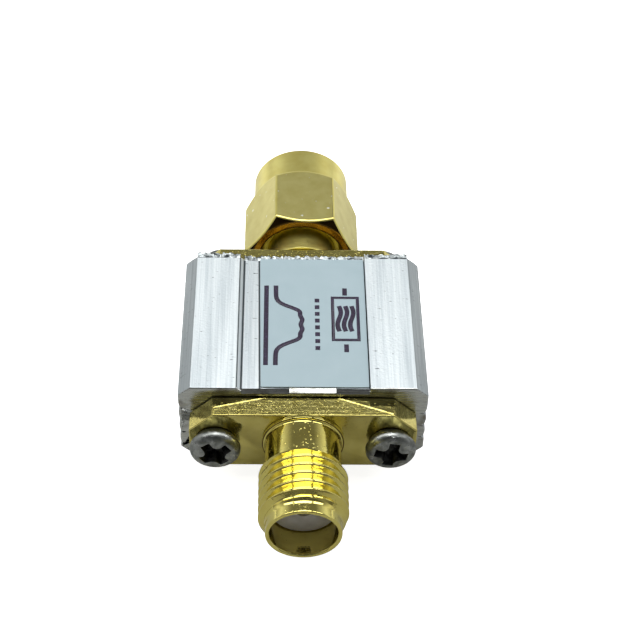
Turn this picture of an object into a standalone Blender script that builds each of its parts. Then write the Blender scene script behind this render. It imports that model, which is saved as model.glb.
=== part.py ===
"""In-line coaxial bandpass filter: a ribbed aluminium box between a threaded jack and a plug.

The coax axis is Y. The jack points to -Y, the plug with its coupling nut to +Y, and the printed
label is on top, at +Z. The origin is on the coax axis, halfway between the two mating ends.
"""
import math

import bmesh
import bpy
from mathutils import Matrix

MM = 0.001

# Housing: a length of ribbed aluminium extrusion, sawn square at both ends
SHELL_WIDTH = 17.7 * MM
SHELL_HEIGHT = 7.2 * MM
SHELL_LENGTH = 13.4 * MM
CORNER_WIDTH = 0.88 * MM
CORNER_HEIGHT = 0.8 * MM
CORNER_BULGE = 0.12 * MM
WALL_THICKNESS = 1.25 * MM
RIB_PITCH = 1.3 * MM
RIB_LAND = 0.75 * MM
RIGHT_RIB_DEPTH = 0.26 * MM
RIGHT_RIB_DROP = 1.82 * MM
LEFT_RIB_DEPTH = 0.15 * MM
LEFT_RIB_DROP = 1.35 * MM

# Shallow bed in the top that takes the label
BED_WIDTH = 9.44 * MM
BED_DEPTH = 0.3 * MM
BED_LEFT_SLOPE = 0.32 * MM
BED_RIGHT_SLOPE = 0.05 * MM
LABEL_WIDTH = 7.85 * MM
LABEL_THICKNESS = 0.08 * MM
LABEL_END_MARGIN = 0.08 * MM
LABEL_SKEW = 0.2 * MM

# Flanges: gold-plated brass plates, stamped
SCREW_SPREAD = 0.7
FLANGE_END_MARGIN = 0.06 * MM
FLANGE_HEIGHT = 5.5 * MM
FLANGE_THICKNESS = 1.65 * MM
FLANGE_CUT_WIDTH = 1.7 * MM
FLANGE_CUT_HEIGHT = 1.65 * MM
FLANGE_EDGE_BREAK = 0.07 * MM

# Clearances
FLANGE_GAP = 0.08 * MM
SEAT_GAP = 0.04 * MM
RUNNING_GAP = 0.08 * MM

# Turned connector bodies, the same at both flanges up to the neck
SPIGOT_RADIUS = 2.5 * MM
COLLAR_RADIUS = 2.92 * MM
COLLAR_HEIGHT = 0.25 * MM
NECK_RADIUS = 2.68 * MM
NECK_FILLET = 0.18 * MM
EDGE_BREAK = 0.05 * MM

# Jack
JACK_REACH = 8.2 * MM
THREAD_RADIUS = 3.12 * MM
THREAD_LENGTH = 4.19 * MM
THREAD_DEPTH = 0.43 * MM
THREAD_PITCH = 25.4 / 36 * MM
THREAD_FLAT = 0.12
THREAD_PHASE = 0.49
RUN_IN_SLOPE = 1.16
RUN_OUT_SLOPE = 1.66
NOSE_RADIUS = 2.62 * MM
NOSE_LENGTH = 0.68 * MM
NOSE_TAPER = 0.35 * MM
RIM_BREAK = 0.1 * MM
JACK_BORE_RADIUS = 2.3 * MM
JACK_BORE_DEPTH = 1.95 * MM
MOUTH_CHAMFER = 0.1 * MM
JACK_INSULATOR_RADIUS = 2.2 * MM
ENTRY_RADIUS = 0.5 * MM
ENTRY_LIP = 0.3 * MM
SOCKET_RADIUS = 0.635 * MM
SOCKET_BORE_RADIUS = 0.47 * MM
SOCKET_BORE_DEPTH = 2.8 * MM
SOCKET_SLOT_DEPTH = 2.0 * MM
SOCKET_SLOT_WIDTH = 0.18 * MM
SOCKET_RECESS = 0.05 * MM
TAIL_RADIUS = 0.45 * MM
TAIL_LENGTH = 2.0 * MM

# Plug and its coupling nut
NUT_STANDOFF = 1.9 * MM
NUT_LENGTH = 8.9 * MM
NUT_HEX_LENGTH = 6.15 * MM
NUT_ACROSS_FLATS = 7.94 * MM
NUT_TURN = math.radians(3.15)
NUT_FACE_RADIUS = 3.85 * MM
NUT_CHAMFER_SLOPE = 0.74
NUT_ROUND_RADIUS = 3.82 * MM
NUT_BORE_RADIUS = 3.3 * MM
NUT_COUNTERBORE_DEPTH = 3.45 * MM
SHOULDER_SETBACK = 0.9 * MM
SHOULDER_LENGTH = 2.15 * MM
SHOULDER_CHAMFER = 0.2 * MM
RING_SETBACK = 1.55 * MM
RING_THICKNESS = 0.42 * MM
RING_BODY_GRIP = 0.4 * MM
RING_NUT_GRIP = 0.32 * MM
RING_MOUTH = math.radians(34)
GASKET_THICKNESS = 0.7 * MM
GASKET_EDGE = 0.15 * MM
SLEEVE_RADIUS = 2.28 * MM
SLEEVE_LENGTH = 2.9 * MM
PLUG_INSULATOR_RADIUS = 2.05 * MM
PIN_RADIUS = 0.46 * MM
PIN_REACH = 2.0 * MM
PIN_POINT = 0.5 * MM

# Cross-recess pan-head screws
SCREW_RADIUS = 1.0 * MM
SCREW_LENGTH = 6.0 * MM
SCREW_SEAT_RADIUS = 1.45 * MM
SCREW_HEAD_RADIUS = 1.8 * MM
SCREW_HEAD_LOW = 0.6 * MM
SCREW_HEAD_EDGE = 0.7 * MM
SCREW_FACE_RADIUS = 1.28 * MM
SCREW_FACE_HEIGHT = 1.22 * MM
SCREW_HEAD_HEIGHT = 1.4 * MM
RECESS_REACH = 1.28 * MM
RECESS_ARM = 0.38 * MM
RECESS_ARM_END = 0.4 * MM
RECESS_CORNER = 0.52 * MM
RECESS_DEPTH = 0.9 * MM
RECESS_TAPER = 0.58
SCREW_TURNS = {
    "screw_front_left": math.radians(-36),
    "screw_front_right": math.radians(11),
    "screw_rear_left": math.radians(38),
    "screw_rear_right": math.radians(7),
}

# Circuit inside the housing
PORT_WALL = 0.6 * MM
SLOT_DEPTH = 0.4 * MM
BOARD_THICKNESS = 0.8 * MM
BOARD_END_MARGIN = 0.2 * MM
CASE_SIZE = 3.0 * MM
CASE_HEIGHT = 0.9 * MM
CASE_EDGE = 0.12 * MM
LID_MARGIN = 0.2 * MM
LID_THICKNESS = 0.15 * MM
CHIP_LENGTH = 1.0 * MM
CHIP_WIDTH = 0.5 * MM
CHIP_CAP_LENGTH = 0.25 * MM
CHIP_CAP_PROUD = 0.03 * MM
CHIP_SPACING = 1.5 * MM
CHIP_CLEARANCE = 0.45 * MM
SOLDER_LENGTH = 1.3 * MM
SOLDER_HALF_WIDTH = 1.0 * MM
SOLDER_COVER = 0.2 * MM

# Facets of round pieces
FINE = 48
MEDIUM = 32
SMALL = 24
RIB_POINTS = 6
MERGE_DISTANCE = 0.0001 * MM

# Stations along the coax axis, from the jack's mouth to the nut's mouth
OVERALL_LENGTH = (
    JACK_REACH + 2 * FLANGE_THICKNESS + 2 * FLANGE_GAP + SHELL_LENGTH + NUT_STANDOFF + NUT_LENGTH
)
JACK_TIP_Y = -OVERALL_LENGTH / 2
FRONT_FACE_Y = JACK_TIP_Y + JACK_REACH
FRONT_BACK_Y = FRONT_FACE_Y + FLANGE_THICKNESS
SHELL_FRONT_Y = FRONT_BACK_Y + FLANGE_GAP
SHELL_REAR_Y = SHELL_FRONT_Y + SHELL_LENGTH
REAR_BACK_Y = SHELL_REAR_Y + FLANGE_GAP
REAR_FACE_Y = REAR_BACK_Y + FLANGE_THICKNESS
NUT_NEAR_Y = REAR_FACE_Y + NUT_STANDOFF
NUT_END_Y = NUT_NEAR_Y + NUT_LENGTH
SHELL_MIDDLE_Y = (SHELL_FRONT_Y + SHELL_REAR_Y) / 2

# Plug stations, which follow the nut
SHOULDER_Y = NUT_NEAR_Y + SHOULDER_SETBACK
SHOULDER_END_Y = SHOULDER_Y + SHOULDER_LENGTH
RING_Y = NUT_NEAR_Y + RING_SETBACK
GASKET_Y = SHOULDER_END_Y + SEAT_GAP
SLEEVE_END_Y = SHOULDER_END_Y + SLEEVE_LENGTH
SHOULDER_RADIUS = NUT_BORE_RADIUS - RUNNING_GAP

# Screws spread in step with the housing, and flanges that end at the outer side of their heads
SCREW_SPACING = SCREW_SPREAD * SHELL_WIDTH
FLANGE_WIDTH = SCREW_SPACING + 2 * (SCREW_HEAD_RADIUS + FLANGE_END_MARGIN)

# Sections inside the housing
PORT_RADIUS = SCREW_RADIUS + SEAT_GAP
CAVITY_HALF_WIDTH = SCREW_SPACING / 2 - PORT_RADIUS - PORT_WALL
CAVITY_HALF_HEIGHT = SHELL_HEIGHT / 2 - WALL_THICKNESS
BOARD_TOP_Z = -TAIL_RADIUS - SEAT_GAP
BOARD_HALF_WIDTH = CAVITY_HALF_WIDTH + SLOT_DEPTH - SEAT_GAP
PART_Z = BOARD_TOP_Z + SEAT_GAP


def clear_scene():
    for existing in list(bpy.data.objects):
        bpy.data.objects.remove(existing, do_unlink=True)


def make_material(name, colour, roughness, metallic):
    material = bpy.data.materials.new(name)
    material.use_nodes = True
    shader = material.node_tree.nodes["Principled BSDF"]
    shader.inputs["Base Color"].default_value = (*colour, 1.0)
    shader.inputs["Roughness"].default_value = roughness
    shader.inputs["Metallic"].default_value = metallic
    return material


def make_object(name, bm, material=None):
    """Turn a bmesh into a named object, smooth where its faces meet gently."""
    bmesh.ops.remove_doubles(bm, verts=bm.verts, dist=MERGE_DISTANCE)
    bmesh.ops.recalc_face_normals(bm, faces=bm.faces)
    mesh = bpy.data.meshes.new(name)
    bm.to_mesh(mesh)
    bm.free()
    mesh.shade_smooth()
    mesh.set_sharp_from_angle(angle=math.radians(30))
    if material is not None:
        mesh.materials.append(material)
    made = bpy.data.objects.new(name, mesh)
    bpy.context.scene.collection.objects.link(made)
    return made


def spun(profile, segments=FINE, sweep=2 * math.pi, closed=True):
    """Turn a chain of (radius, y) points about the Y axis; a closed one is a loop."""
    bm = bmesh.new()
    verts = [bm.verts.new((radius, y, 0)) for radius, y in profile]
    if sweep < 2 * math.pi:
        seed = [bm.faces.new(verts)]
    else:
        first = 0 if closed else 1
        seed = [bm.edges.new((verts[i - 1], verts[i])) for i in range(first, len(verts))]
    geometry = verts + list({edge for item in seed for edge in getattr(item, "edges", [item])})
    if sweep < 2 * math.pi:
        geometry += seed
    bmesh.ops.spin(
        bm, geom=geometry, cent=(0, 0, 0), axis=(0, 1, 0), angle=sweep, steps=segments
    )
    return bm


def turned(name, profile, material=None, segments=FINE, sweep=2 * math.pi):
    """A solid of revolution from a loop of (radius, y) points, left open where it ends on the axis."""
    on_axis = profile[0][0] == profile[-1][0] == 0
    return make_object(name, spun(profile, segments, sweep, not on_axis), material)


def extruded(name, outline, start_y, end_y, material=None):
    """Draw an outline of (x, z) points along the Y axis."""
    bm = bmesh.new()
    face = bm.faces.new([bm.verts.new((x, start_y, z)) for x, z in outline])
    grown = bmesh.ops.extrude_face_region(bm, geom=[face])
    moved = [item for item in grown["geom"] if isinstance(item, bmesh.types.BMVert)]
    bmesh.ops.translate(bm, verts=moved, vec=(0, end_y - start_y, 0))
    return make_object(name, bm, material)


def boxed(name, low, high, edge, material=None):
    """A rectangular block between two corners, with its edges broken."""
    bm = bmesh.new()
    size = [high[i] - low[i] for i in range(3)]
    centre = [(high[i] + low[i]) / 2 for i in range(3)]
    bmesh.ops.create_cube(bm, size=1)
    bmesh.ops.scale(bm, verts=bm.verts, vec=size)
    bmesh.ops.translate(bm, verts=bm.verts, vec=centre)
    if edge > 0:
        bmesh.ops.bevel(bm, geom=bm.edges, offset=edge, segments=1, affect="EDGES")
    return make_object(name, bm, material)


def cut(target, cutter, operation="DIFFERENCE"):
    """Cut one object with another, which stays in the file as a wire guide."""
    cutter.hide_render = True
    cutter.display_type = "WIRE"
    modifier = target.modifiers.new(cutter.name, "BOOLEAN")
    modifier.operation = operation
    modifier.solver = "EXACT"
    modifier.object = cutter


def mirrored(points):
    """The same outline on the other side of X = 0, in the same order of drawing."""
    return [(-x, z) for x, z in reversed(points)]


def arc(centre, radius, start, end, steps):
    """Points on a circle, both ends included."""
    angles = [start + (end - start) * i / steps for i in range(steps + 1)]
    return [(centre[0] + radius * math.cos(a), centre[1] + radius * math.sin(a)) for a in angles]


# Housing


def ribbed_side(drop, depth):
    """Right-hand side wall from top to bottom: a plain land, then scalloped ribs with V roots."""
    half_width = SHELL_WIDTH / 2
    top = SHELL_HEIGHT / 2 - CORNER_HEIGHT
    roots = [top - drop]
    while roots[-1] - RIB_PITCH > -top + RIB_LAND:
        roots.append(roots[-1] - RIB_PITCH)
    points = [(half_width, top)]
    for i in range(RIB_POINTS):
        turn = i / RIB_POINTS
        inset = depth * (1 - math.sqrt(1 - turn**2))
        points.append((half_width - inset, roots[0] + (1 - turn) * RIB_PITCH / 2))
    for upper, lower in zip(roots, roots[1:]):
        for i in range(2 * RIB_POINTS):
            turn = 1 - i / RIB_POINTS
            inset = depth * (1 - math.sqrt(1 - turn**2))
            points.append((half_width - inset, (upper + lower) / 2 + turn * RIB_PITCH / 2))
    for i in range(RIB_POINTS + 1):
        turn = 1 - i / RIB_POINTS
        inset = depth * (1 - math.sqrt(1 - turn**2))
        points.append((half_width - inset, roots[-1] - (1 - turn) * RIB_LAND / 2))
    points.append((half_width, -top))
    return points


def soft_corner(up):
    """Right-hand corner between the flat (up is 1 for the top, -1 for the base) and the side."""
    flat_x = SHELL_WIDTH / 2 - CORNER_WIDTH
    points = []
    for i in range(1, 4):
        turn = i / 4
        bulge = CORNER_BULGE * 4 * turn * (1 - turn) / math.sqrt(2)
        x = flat_x + turn * CORNER_WIDTH + bulge
        z = SHELL_HEIGHT / 2 - turn * CORNER_HEIGHT + bulge
        points.append((x, up * z))
    return points if up > 0 else points[::-1]


def shell_side(drop, depth):
    """Right half of the section, from the top flat's edge down to the base flat's edge."""
    flat_x = SHELL_WIDTH / 2 - CORNER_WIDTH
    points = [(flat_x, SHELL_HEIGHT / 2)]
    points += soft_corner(1)
    points += ribbed_side(drop, depth)
    points += soft_corner(-1)
    points.append((flat_x, -SHELL_HEIGHT / 2))
    return points


def make_shell(material):
    top = SHELL_HEIGHT / 2
    bed = [
        (-BED_WIDTH / 2, top),
        (-BED_WIDTH / 2 + BED_LEFT_SLOPE, top - BED_DEPTH),
        (BED_WIDTH / 2 - BED_RIGHT_SLOPE, top - BED_DEPTH),
        (BED_WIDTH / 2, top),
    ]
    outline = bed + shell_side(RIGHT_RIB_DROP, RIGHT_RIB_DEPTH)
    outline += mirrored(shell_side(LEFT_RIB_DROP, LEFT_RIB_DEPTH))
    shell = extruded("shell", outline, SHELL_FRONT_Y, SHELL_REAR_Y, material)

    overrun = SHELL_LENGTH / 10
    start_y = SHELL_FRONT_Y - overrun
    end_y = SHELL_REAR_Y + overrun
    slot_top = BOARD_TOP_Z + SEAT_GAP
    slot_base = BOARD_TOP_Z - BOARD_THICKNESS - SEAT_GAP
    slot_x = CAVITY_HALF_WIDTH + SLOT_DEPTH
    right_wall = [
        (CAVITY_HALF_WIDTH, CAVITY_HALF_HEIGHT),
        (CAVITY_HALF_WIDTH, slot_top),
        (slot_x, slot_top),
        (slot_x, slot_base),
        (CAVITY_HALF_WIDTH, slot_base),
        (CAVITY_HALF_WIDTH, -CAVITY_HALF_HEIGHT),
    ]
    cut(shell, extruded("cut_cavity", right_wall + mirrored(right_wall), start_y, end_y))
    for side, x in (("left", -SCREW_SPACING / 2), ("right", SCREW_SPACING / 2)):
        circle = arc((x, 0), PORT_RADIUS, 0, 2 * math.pi, SMALL)[:-1]
        cut(shell, extruded(f"cut_screw_port_{side}", circle, start_y, end_y))
    return shell


def make_label(material):
    """Printed sticker, pushed against the bed's right wall and set on slightly skew."""
    right_x = BED_WIDTH / 2 - BED_RIGHT_SLOPE - SEAT_GAP
    left_x = right_x - LABEL_WIDTH
    front_y = SHELL_FRONT_Y + LABEL_END_MARGIN
    rear_y = SHELL_REAR_Y - LABEL_END_MARGIN
    base_z = SHELL_HEIGHT / 2 - BED_DEPTH + SEAT_GAP
    bm = bmesh.new()
    corners = [(left_x, rear_y), (left_x + LABEL_SKEW, front_y), (right_x, front_y), (right_x, rear_y)]
    face = bm.faces.new([bm.verts.new((x, y, base_z)) for x, y in corners])
    grown = bmesh.ops.extrude_face_region(bm, geom=[face])
    moved = [item for item in grown["geom"] if isinstance(item, bmesh.types.BMVert)]
    bmesh.ops.translate(bm, verts=moved, vec=(0, 0, LABEL_THICKNESS))
    return make_object("label", bm, material)


# Flanges


def make_flange(name, back_y, outward, material):
    """Stamped plate with cut corners; outward is -1 at the jack and 1 at the plug."""
    half_width = FLANGE_WIDTH / 2
    half_height = FLANGE_HEIGHT / 2
    right = [
        (half_width - FLANGE_CUT_WIDTH, half_height),
        (half_width, half_height - FLANGE_CUT_HEIGHT),
        (half_width, -half_height + FLANGE_CUT_HEIGHT),
        (half_width - FLANGE_CUT_WIDTH, -half_height),
    ]
    face_y = back_y + outward * FLANGE_THICKNESS
    flange = extruded(name, right + mirrored(right), back_y, face_y, material)
    edge = flange.modifiers.new("edge_break", "BEVEL")
    edge.width = FLANGE_EDGE_BREAK
    edge.segments = 2
    edge.limit_method = "ANGLE"
    edge.angle_limit = math.radians(60)
    holes = [("bore", 0, SPIGOT_RADIUS + SEAT_GAP, FINE)]
    for side, x in (("left", -SCREW_SPACING / 2), ("right", SCREW_SPACING / 2)):
        holes.append((f"hole_{side}", x, PORT_RADIUS, SMALL))
    start_y = back_y - outward * FLANGE_THICKNESS
    end_y = face_y + outward * FLANGE_THICKNESS
    for hole, x, radius, segments in holes:
        circle = arc((x, 0), radius, 0, 2 * math.pi, segments)[:-1]
        cut(flange, extruded(f"cut_{name}_{hole}", circle, start_y, end_y))
    return flange


# Jack


def neck_profile(back_y, face_y, outward):
    """Outer profile shared by both bodies: spigot, collar and the fillet up to the neck."""
    seat_y = face_y + outward * SEAT_GAP
    front_y = seat_y + outward * COLLAR_HEIGHT
    profile = [(SPIGOT_RADIUS, back_y), (SPIGOT_RADIUS, seat_y)]
    profile += [(COLLAR_RADIUS, seat_y), (COLLAR_RADIUS, front_y - outward * EDGE_BREAK)]
    profile += [(COLLAR_RADIUS - EDGE_BREAK, front_y)]
    for radius, rise in arc((NECK_FILLET, NECK_FILLET), NECK_FILLET, -math.pi / 2, -math.pi, 4):
        profile.append((NECK_RADIUS + radius, front_y + outward * rise))
    return profile


def add_thread(bm, start_y, end_y, segments):
    """Sleeve with a right-handed helical thread; past its ends the rows are held there."""
    root_radius = THREAD_RADIUS - THREAD_DEPTH
    half = 0.5
    stations = [(0, 0), (THREAD_FLAT, 0), (half, THREAD_DEPTH), (half + THREAD_FLAT, THREAD_DEPTH)]
    turns = math.ceil((end_y - start_y) / THREAD_PITCH + THREAD_PHASE) + 1
    rows = []
    for turn in range(turns + 1):
        for share, rise in stations:
            row = []
            for i in range(segments):
                travel = turn + share - THREAD_PHASE + i / segments - 1
                y = min(max(start_y + travel * THREAD_PITCH, start_y), end_y)
                run_in = root_radius + (y - start_y) * RUN_IN_SLOPE
                run_out = NECK_RADIUS + (end_y - y) * RUN_OUT_SLOPE
                radius = min(root_radius + rise, run_in, run_out)
                angle = -2 * math.pi * i / segments
                row.append(bm.verts.new((radius * math.cos(angle), y, radius * math.sin(angle))))
            rows.append(row)
    count = len(stations)
    for number in range(len(rows) - count - 1):
        here, after = rows[number], rows[number + 1]
        for i in range(segments - 1):
            bm.faces.new((here[i], here[i + 1], after[i + 1], after[i]))
        wrapped, wrapped_after = rows[number + count][0], rows[number + count + 1][0]
        bm.faces.new((here[-1], wrapped, wrapped_after, after[-1]))


def make_jack_barrel(material):
    nose_y = JACK_TIP_Y + NOSE_LENGTH
    thread_y = nose_y + NOSE_TAPER
    thread_end_y = thread_y + THREAD_LENGTH
    shoulder_y = JACK_TIP_Y + JACK_BORE_DEPTH
    insulator_hole = JACK_INSULATOR_RADIUS + SEAT_GAP
    rim_radius = JACK_BORE_RADIUS + MOUTH_CHAMFER
    profile = [
        (THREAD_RADIUS - THREAD_DEPTH, thread_y),
        (NOSE_RADIUS, nose_y),
        (NOSE_RADIUS, JACK_TIP_Y + RIM_BREAK),
        (NOSE_RADIUS - RIM_BREAK * 0.3, JACK_TIP_Y + RIM_BREAK * 0.3),
        (NOSE_RADIUS - RIM_BREAK, JACK_TIP_Y),
        (rim_radius, JACK_TIP_Y),
        (JACK_BORE_RADIUS, JACK_TIP_Y + MOUTH_CHAMFER),
        (JACK_BORE_RADIUS, shoulder_y),
        (insulator_hole, shoulder_y),
        (insulator_hole, FRONT_BACK_Y),
    ]
    profile += neck_profile(FRONT_BACK_Y, FRONT_FACE_Y, -1)
    profile.append((NECK_RADIUS, thread_end_y))
    bm = spun(profile, closed=False)
    add_thread(bm, thread_y, thread_end_y, FINE)
    return make_object("jack_barrel", bm, material)


def make_jack_insulator(material):
    """Bush of the jack, with a lip over the front end of the contact in its bore."""
    hole = SOCKET_RADIUS + SEAT_GAP
    face_y = JACK_TIP_Y + JACK_BORE_DEPTH
    profile = [
        (ENTRY_RADIUS, face_y),
        (JACK_INSULATOR_RADIUS, face_y),
        (JACK_INSULATOR_RADIUS, FRONT_BACK_Y),
        (hole, FRONT_BACK_Y),
        (hole, face_y + ENTRY_LIP),
        (ENTRY_RADIUS, face_y + ENTRY_LIP),
    ]
    return turned("jack_insulator", profile, material)


def make_jack_contact(material):
    """Slotted female contact: spring fingers in front, a solder tail behind."""
    front_y = JACK_TIP_Y + JACK_BORE_DEPTH + ENTRY_LIP + SEAT_GAP
    profile = [
        (0, front_y + SOCKET_BORE_DEPTH + SOCKET_BORE_RADIUS / 2),
        (SOCKET_BORE_RADIUS, front_y + SOCKET_BORE_DEPTH),
        (SOCKET_BORE_RADIUS, front_y + EDGE_BREAK),
        (SOCKET_BORE_RADIUS + EDGE_BREAK, front_y),
        (SOCKET_RADIUS - EDGE_BREAK, front_y),
        (SOCKET_RADIUS, front_y + EDGE_BREAK),
        (SOCKET_RADIUS, FRONT_BACK_Y),
        (TAIL_RADIUS, FRONT_BACK_Y),
        (TAIL_RADIUS, FRONT_BACK_Y + TAIL_LENGTH),
        (0, FRONT_BACK_Y + TAIL_LENGTH),
    ]
    contact = turned("jack_contact", profile, material, SMALL)
    reach = 2 * SOCKET_RADIUS
    half_slot = SOCKET_SLOT_WIDTH / 2
    plus = [(half_slot, reach), (half_slot, half_slot), (reach, half_slot)]
    plus += [(reach, -half_slot), (half_slot, -half_slot), (half_slot, -reach)]
    start_y = front_y - SOCKET_SLOT_DEPTH
    slots = extruded("cut_contact_slots", plus + mirrored(plus), start_y, front_y + SOCKET_SLOT_DEPTH)
    cut(contact, slots)
    return contact


# Plug


def make_plug_body(material):
    """Turned body: neck, the shoulder that carries the nut, and the thin contact sleeve."""
    groove_radius = SHOULDER_RADIUS - RING_BODY_GRIP
    groove_start = RING_Y - SEAT_GAP
    groove_end = RING_Y + RING_THICKNESS + SEAT_GAP
    insulator_hole = PLUG_INSULATOR_RADIUS + SEAT_GAP
    profile = neck_profile(REAR_BACK_Y, REAR_FACE_Y, 1)
    profile += [
        (NECK_RADIUS, SHOULDER_Y),
        (SHOULDER_RADIUS - SHOULDER_CHAMFER, SHOULDER_Y),
        (SHOULDER_RADIUS, SHOULDER_Y + SHOULDER_CHAMFER),
        (SHOULDER_RADIUS, groove_start),
        (groove_radius, groove_start),
        (groove_radius, groove_end),
        (SHOULDER_RADIUS, groove_end),
        (SHOULDER_RADIUS, SHOULDER_END_Y),
        (SLEEVE_RADIUS, SHOULDER_END_Y),
        (SLEEVE_RADIUS, SLEEVE_END_Y - EDGE_BREAK),
        (SLEEVE_RADIUS - EDGE_BREAK, SLEEVE_END_Y),
        (insulator_hole, SLEEVE_END_Y),
        (insulator_hole, REAR_BACK_Y),
    ]
    return turned("plug_body", profile, material)


def make_plug_insulator(material):
    """Plain bush that holds the pin in the bore of the plug body."""
    hole = SOCKET_RADIUS + SEAT_GAP
    profile = [
        (hole, SLEEVE_END_Y),
        (PLUG_INSULATOR_RADIUS, SLEEVE_END_Y),
        (PLUG_INSULATOR_RADIUS, REAR_BACK_Y),
        (hole, REAR_BACK_Y),
    ]
    return turned("plug_insulator", profile, material)


def make_plug_pin(material):
    """Male centre pin with a pointed end, thicker inside its insulator, and a solder tail."""
    profile = [
        (0, REAR_BACK_Y - TAIL_LENGTH),
        (TAIL_RADIUS, REAR_BACK_Y - TAIL_LENGTH),
        (TAIL_RADIUS, REAR_BACK_Y),
        (SOCKET_RADIUS, REAR_BACK_Y),
        (SOCKET_RADIUS, SLEEVE_END_Y - SOCKET_RECESS),
        (PIN_RADIUS, SLEEVE_END_Y - SOCKET_RECESS),
        (PIN_RADIUS, SLEEVE_END_Y + PIN_REACH - PIN_POINT),
        (PIN_RADIUS * 0.8, SLEEVE_END_Y + PIN_REACH - PIN_POINT * 0.5),
        (PIN_RADIUS * 0.4, SLEEVE_END_Y + PIN_REACH),
        (0, SLEEVE_END_Y + PIN_REACH),
    ]
    return turned("plug_pin", profile, material, SMALL)


def make_coupling_nut(material):
    """Turned blank with conical chamfers, milled to a hexagon over its near part."""
    corner_radius = NUT_ACROSS_FLATS / math.sqrt(3)
    blank_radius = corner_radius * 1.04
    chamfer = (blank_radius - NUT_FACE_RADIUS) * NUT_CHAMFER_SLOPE
    hex_end_y = NUT_NEAR_Y + NUT_HEX_LENGTH
    groove_radius = NUT_BORE_RADIUS + RING_NUT_GRIP + RUNNING_GAP
    groove_start = RING_Y - RUNNING_GAP
    groove_end = RING_Y + RING_THICKNESS + RUNNING_GAP
    counterbore_y = NUT_NEAR_Y + NUT_COUNTERBORE_DEPTH
    thread_bore = THREAD_RADIUS - THREAD_DEPTH / 2
    mouth_radius = THREAD_RADIUS + RUNNING_GAP
    profile = [
        (NUT_FACE_RADIUS, NUT_NEAR_Y),
        (blank_radius, NUT_NEAR_Y + chamfer),
        (blank_radius, hex_end_y - chamfer),
        (NUT_FACE_RADIUS, hex_end_y),
        (NUT_ROUND_RADIUS, hex_end_y),
        (NUT_ROUND_RADIUS, NUT_END_Y - 2 * EDGE_BREAK),
        (NUT_ROUND_RADIUS - 2 * EDGE_BREAK, NUT_END_Y),
        (mouth_radius, NUT_END_Y),
        (thread_bore, NUT_END_Y - mouth_radius + thread_bore),
        (thread_bore, counterbore_y),
        (NUT_BORE_RADIUS, counterbore_y),
        (NUT_BORE_RADIUS, groove_end),
        (groove_radius, groove_end),
        (groove_radius, groove_start),
        (NUT_BORE_RADIUS, groove_start),
        (NUT_BORE_RADIUS, NUT_NEAR_Y + EDGE_BREAK),
        (NUT_BORE_RADIUS + EDGE_BREAK, NUT_NEAR_Y),
    ]
    nut = turned("coupling_nut", profile, material)
    corners = [NUT_TURN + math.radians(60) * i for i in range(6)]
    hexagon = [(corner_radius * math.cos(a), -corner_radius * math.sin(a)) for a in corners]
    margin = NUT_LENGTH / 10
    start_y = NUT_NEAR_Y - margin
    cut(nut, extruded("cut_nut_hexagon", hexagon, start_y, NUT_END_Y + margin), "INTERSECT")
    return nut


def make_retaining_ring(material):
    """Open spring ring, half in the body's groove and half in the nut's."""
    inner = SHOULDER_RADIUS - RING_BODY_GRIP + SEAT_GAP
    outer = NUT_BORE_RADIUS + RING_NUT_GRIP
    end_y = RING_Y + RING_THICKNESS
    profile = [(inner, RING_Y), (outer, RING_Y), (outer, end_y), (inner, end_y)]
    return turned("retaining_ring", profile, material, FINE, 2 * math.pi - RING_MOUTH)


def make_gasket(material):
    """Soft sealing ring on the sleeve, against the shoulder's front face."""
    inner = SLEEVE_RADIUS + SEAT_GAP
    outer = THREAD_RADIUS - THREAD_DEPTH / 2 - RUNNING_GAP
    end_y = GASKET_Y + GASKET_THICKNESS
    profile = [
        (inner, GASKET_Y),
        (outer, GASKET_Y),
        (outer, end_y - GASKET_EDGE),
        (outer - GASKET_EDGE, end_y),
        (inner + GASKET_EDGE, end_y),
        (inner, end_y - GASKET_EDGE),
    ]
    return turned("plug_gasket", profile, material, MEDIUM)


# Screws


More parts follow.
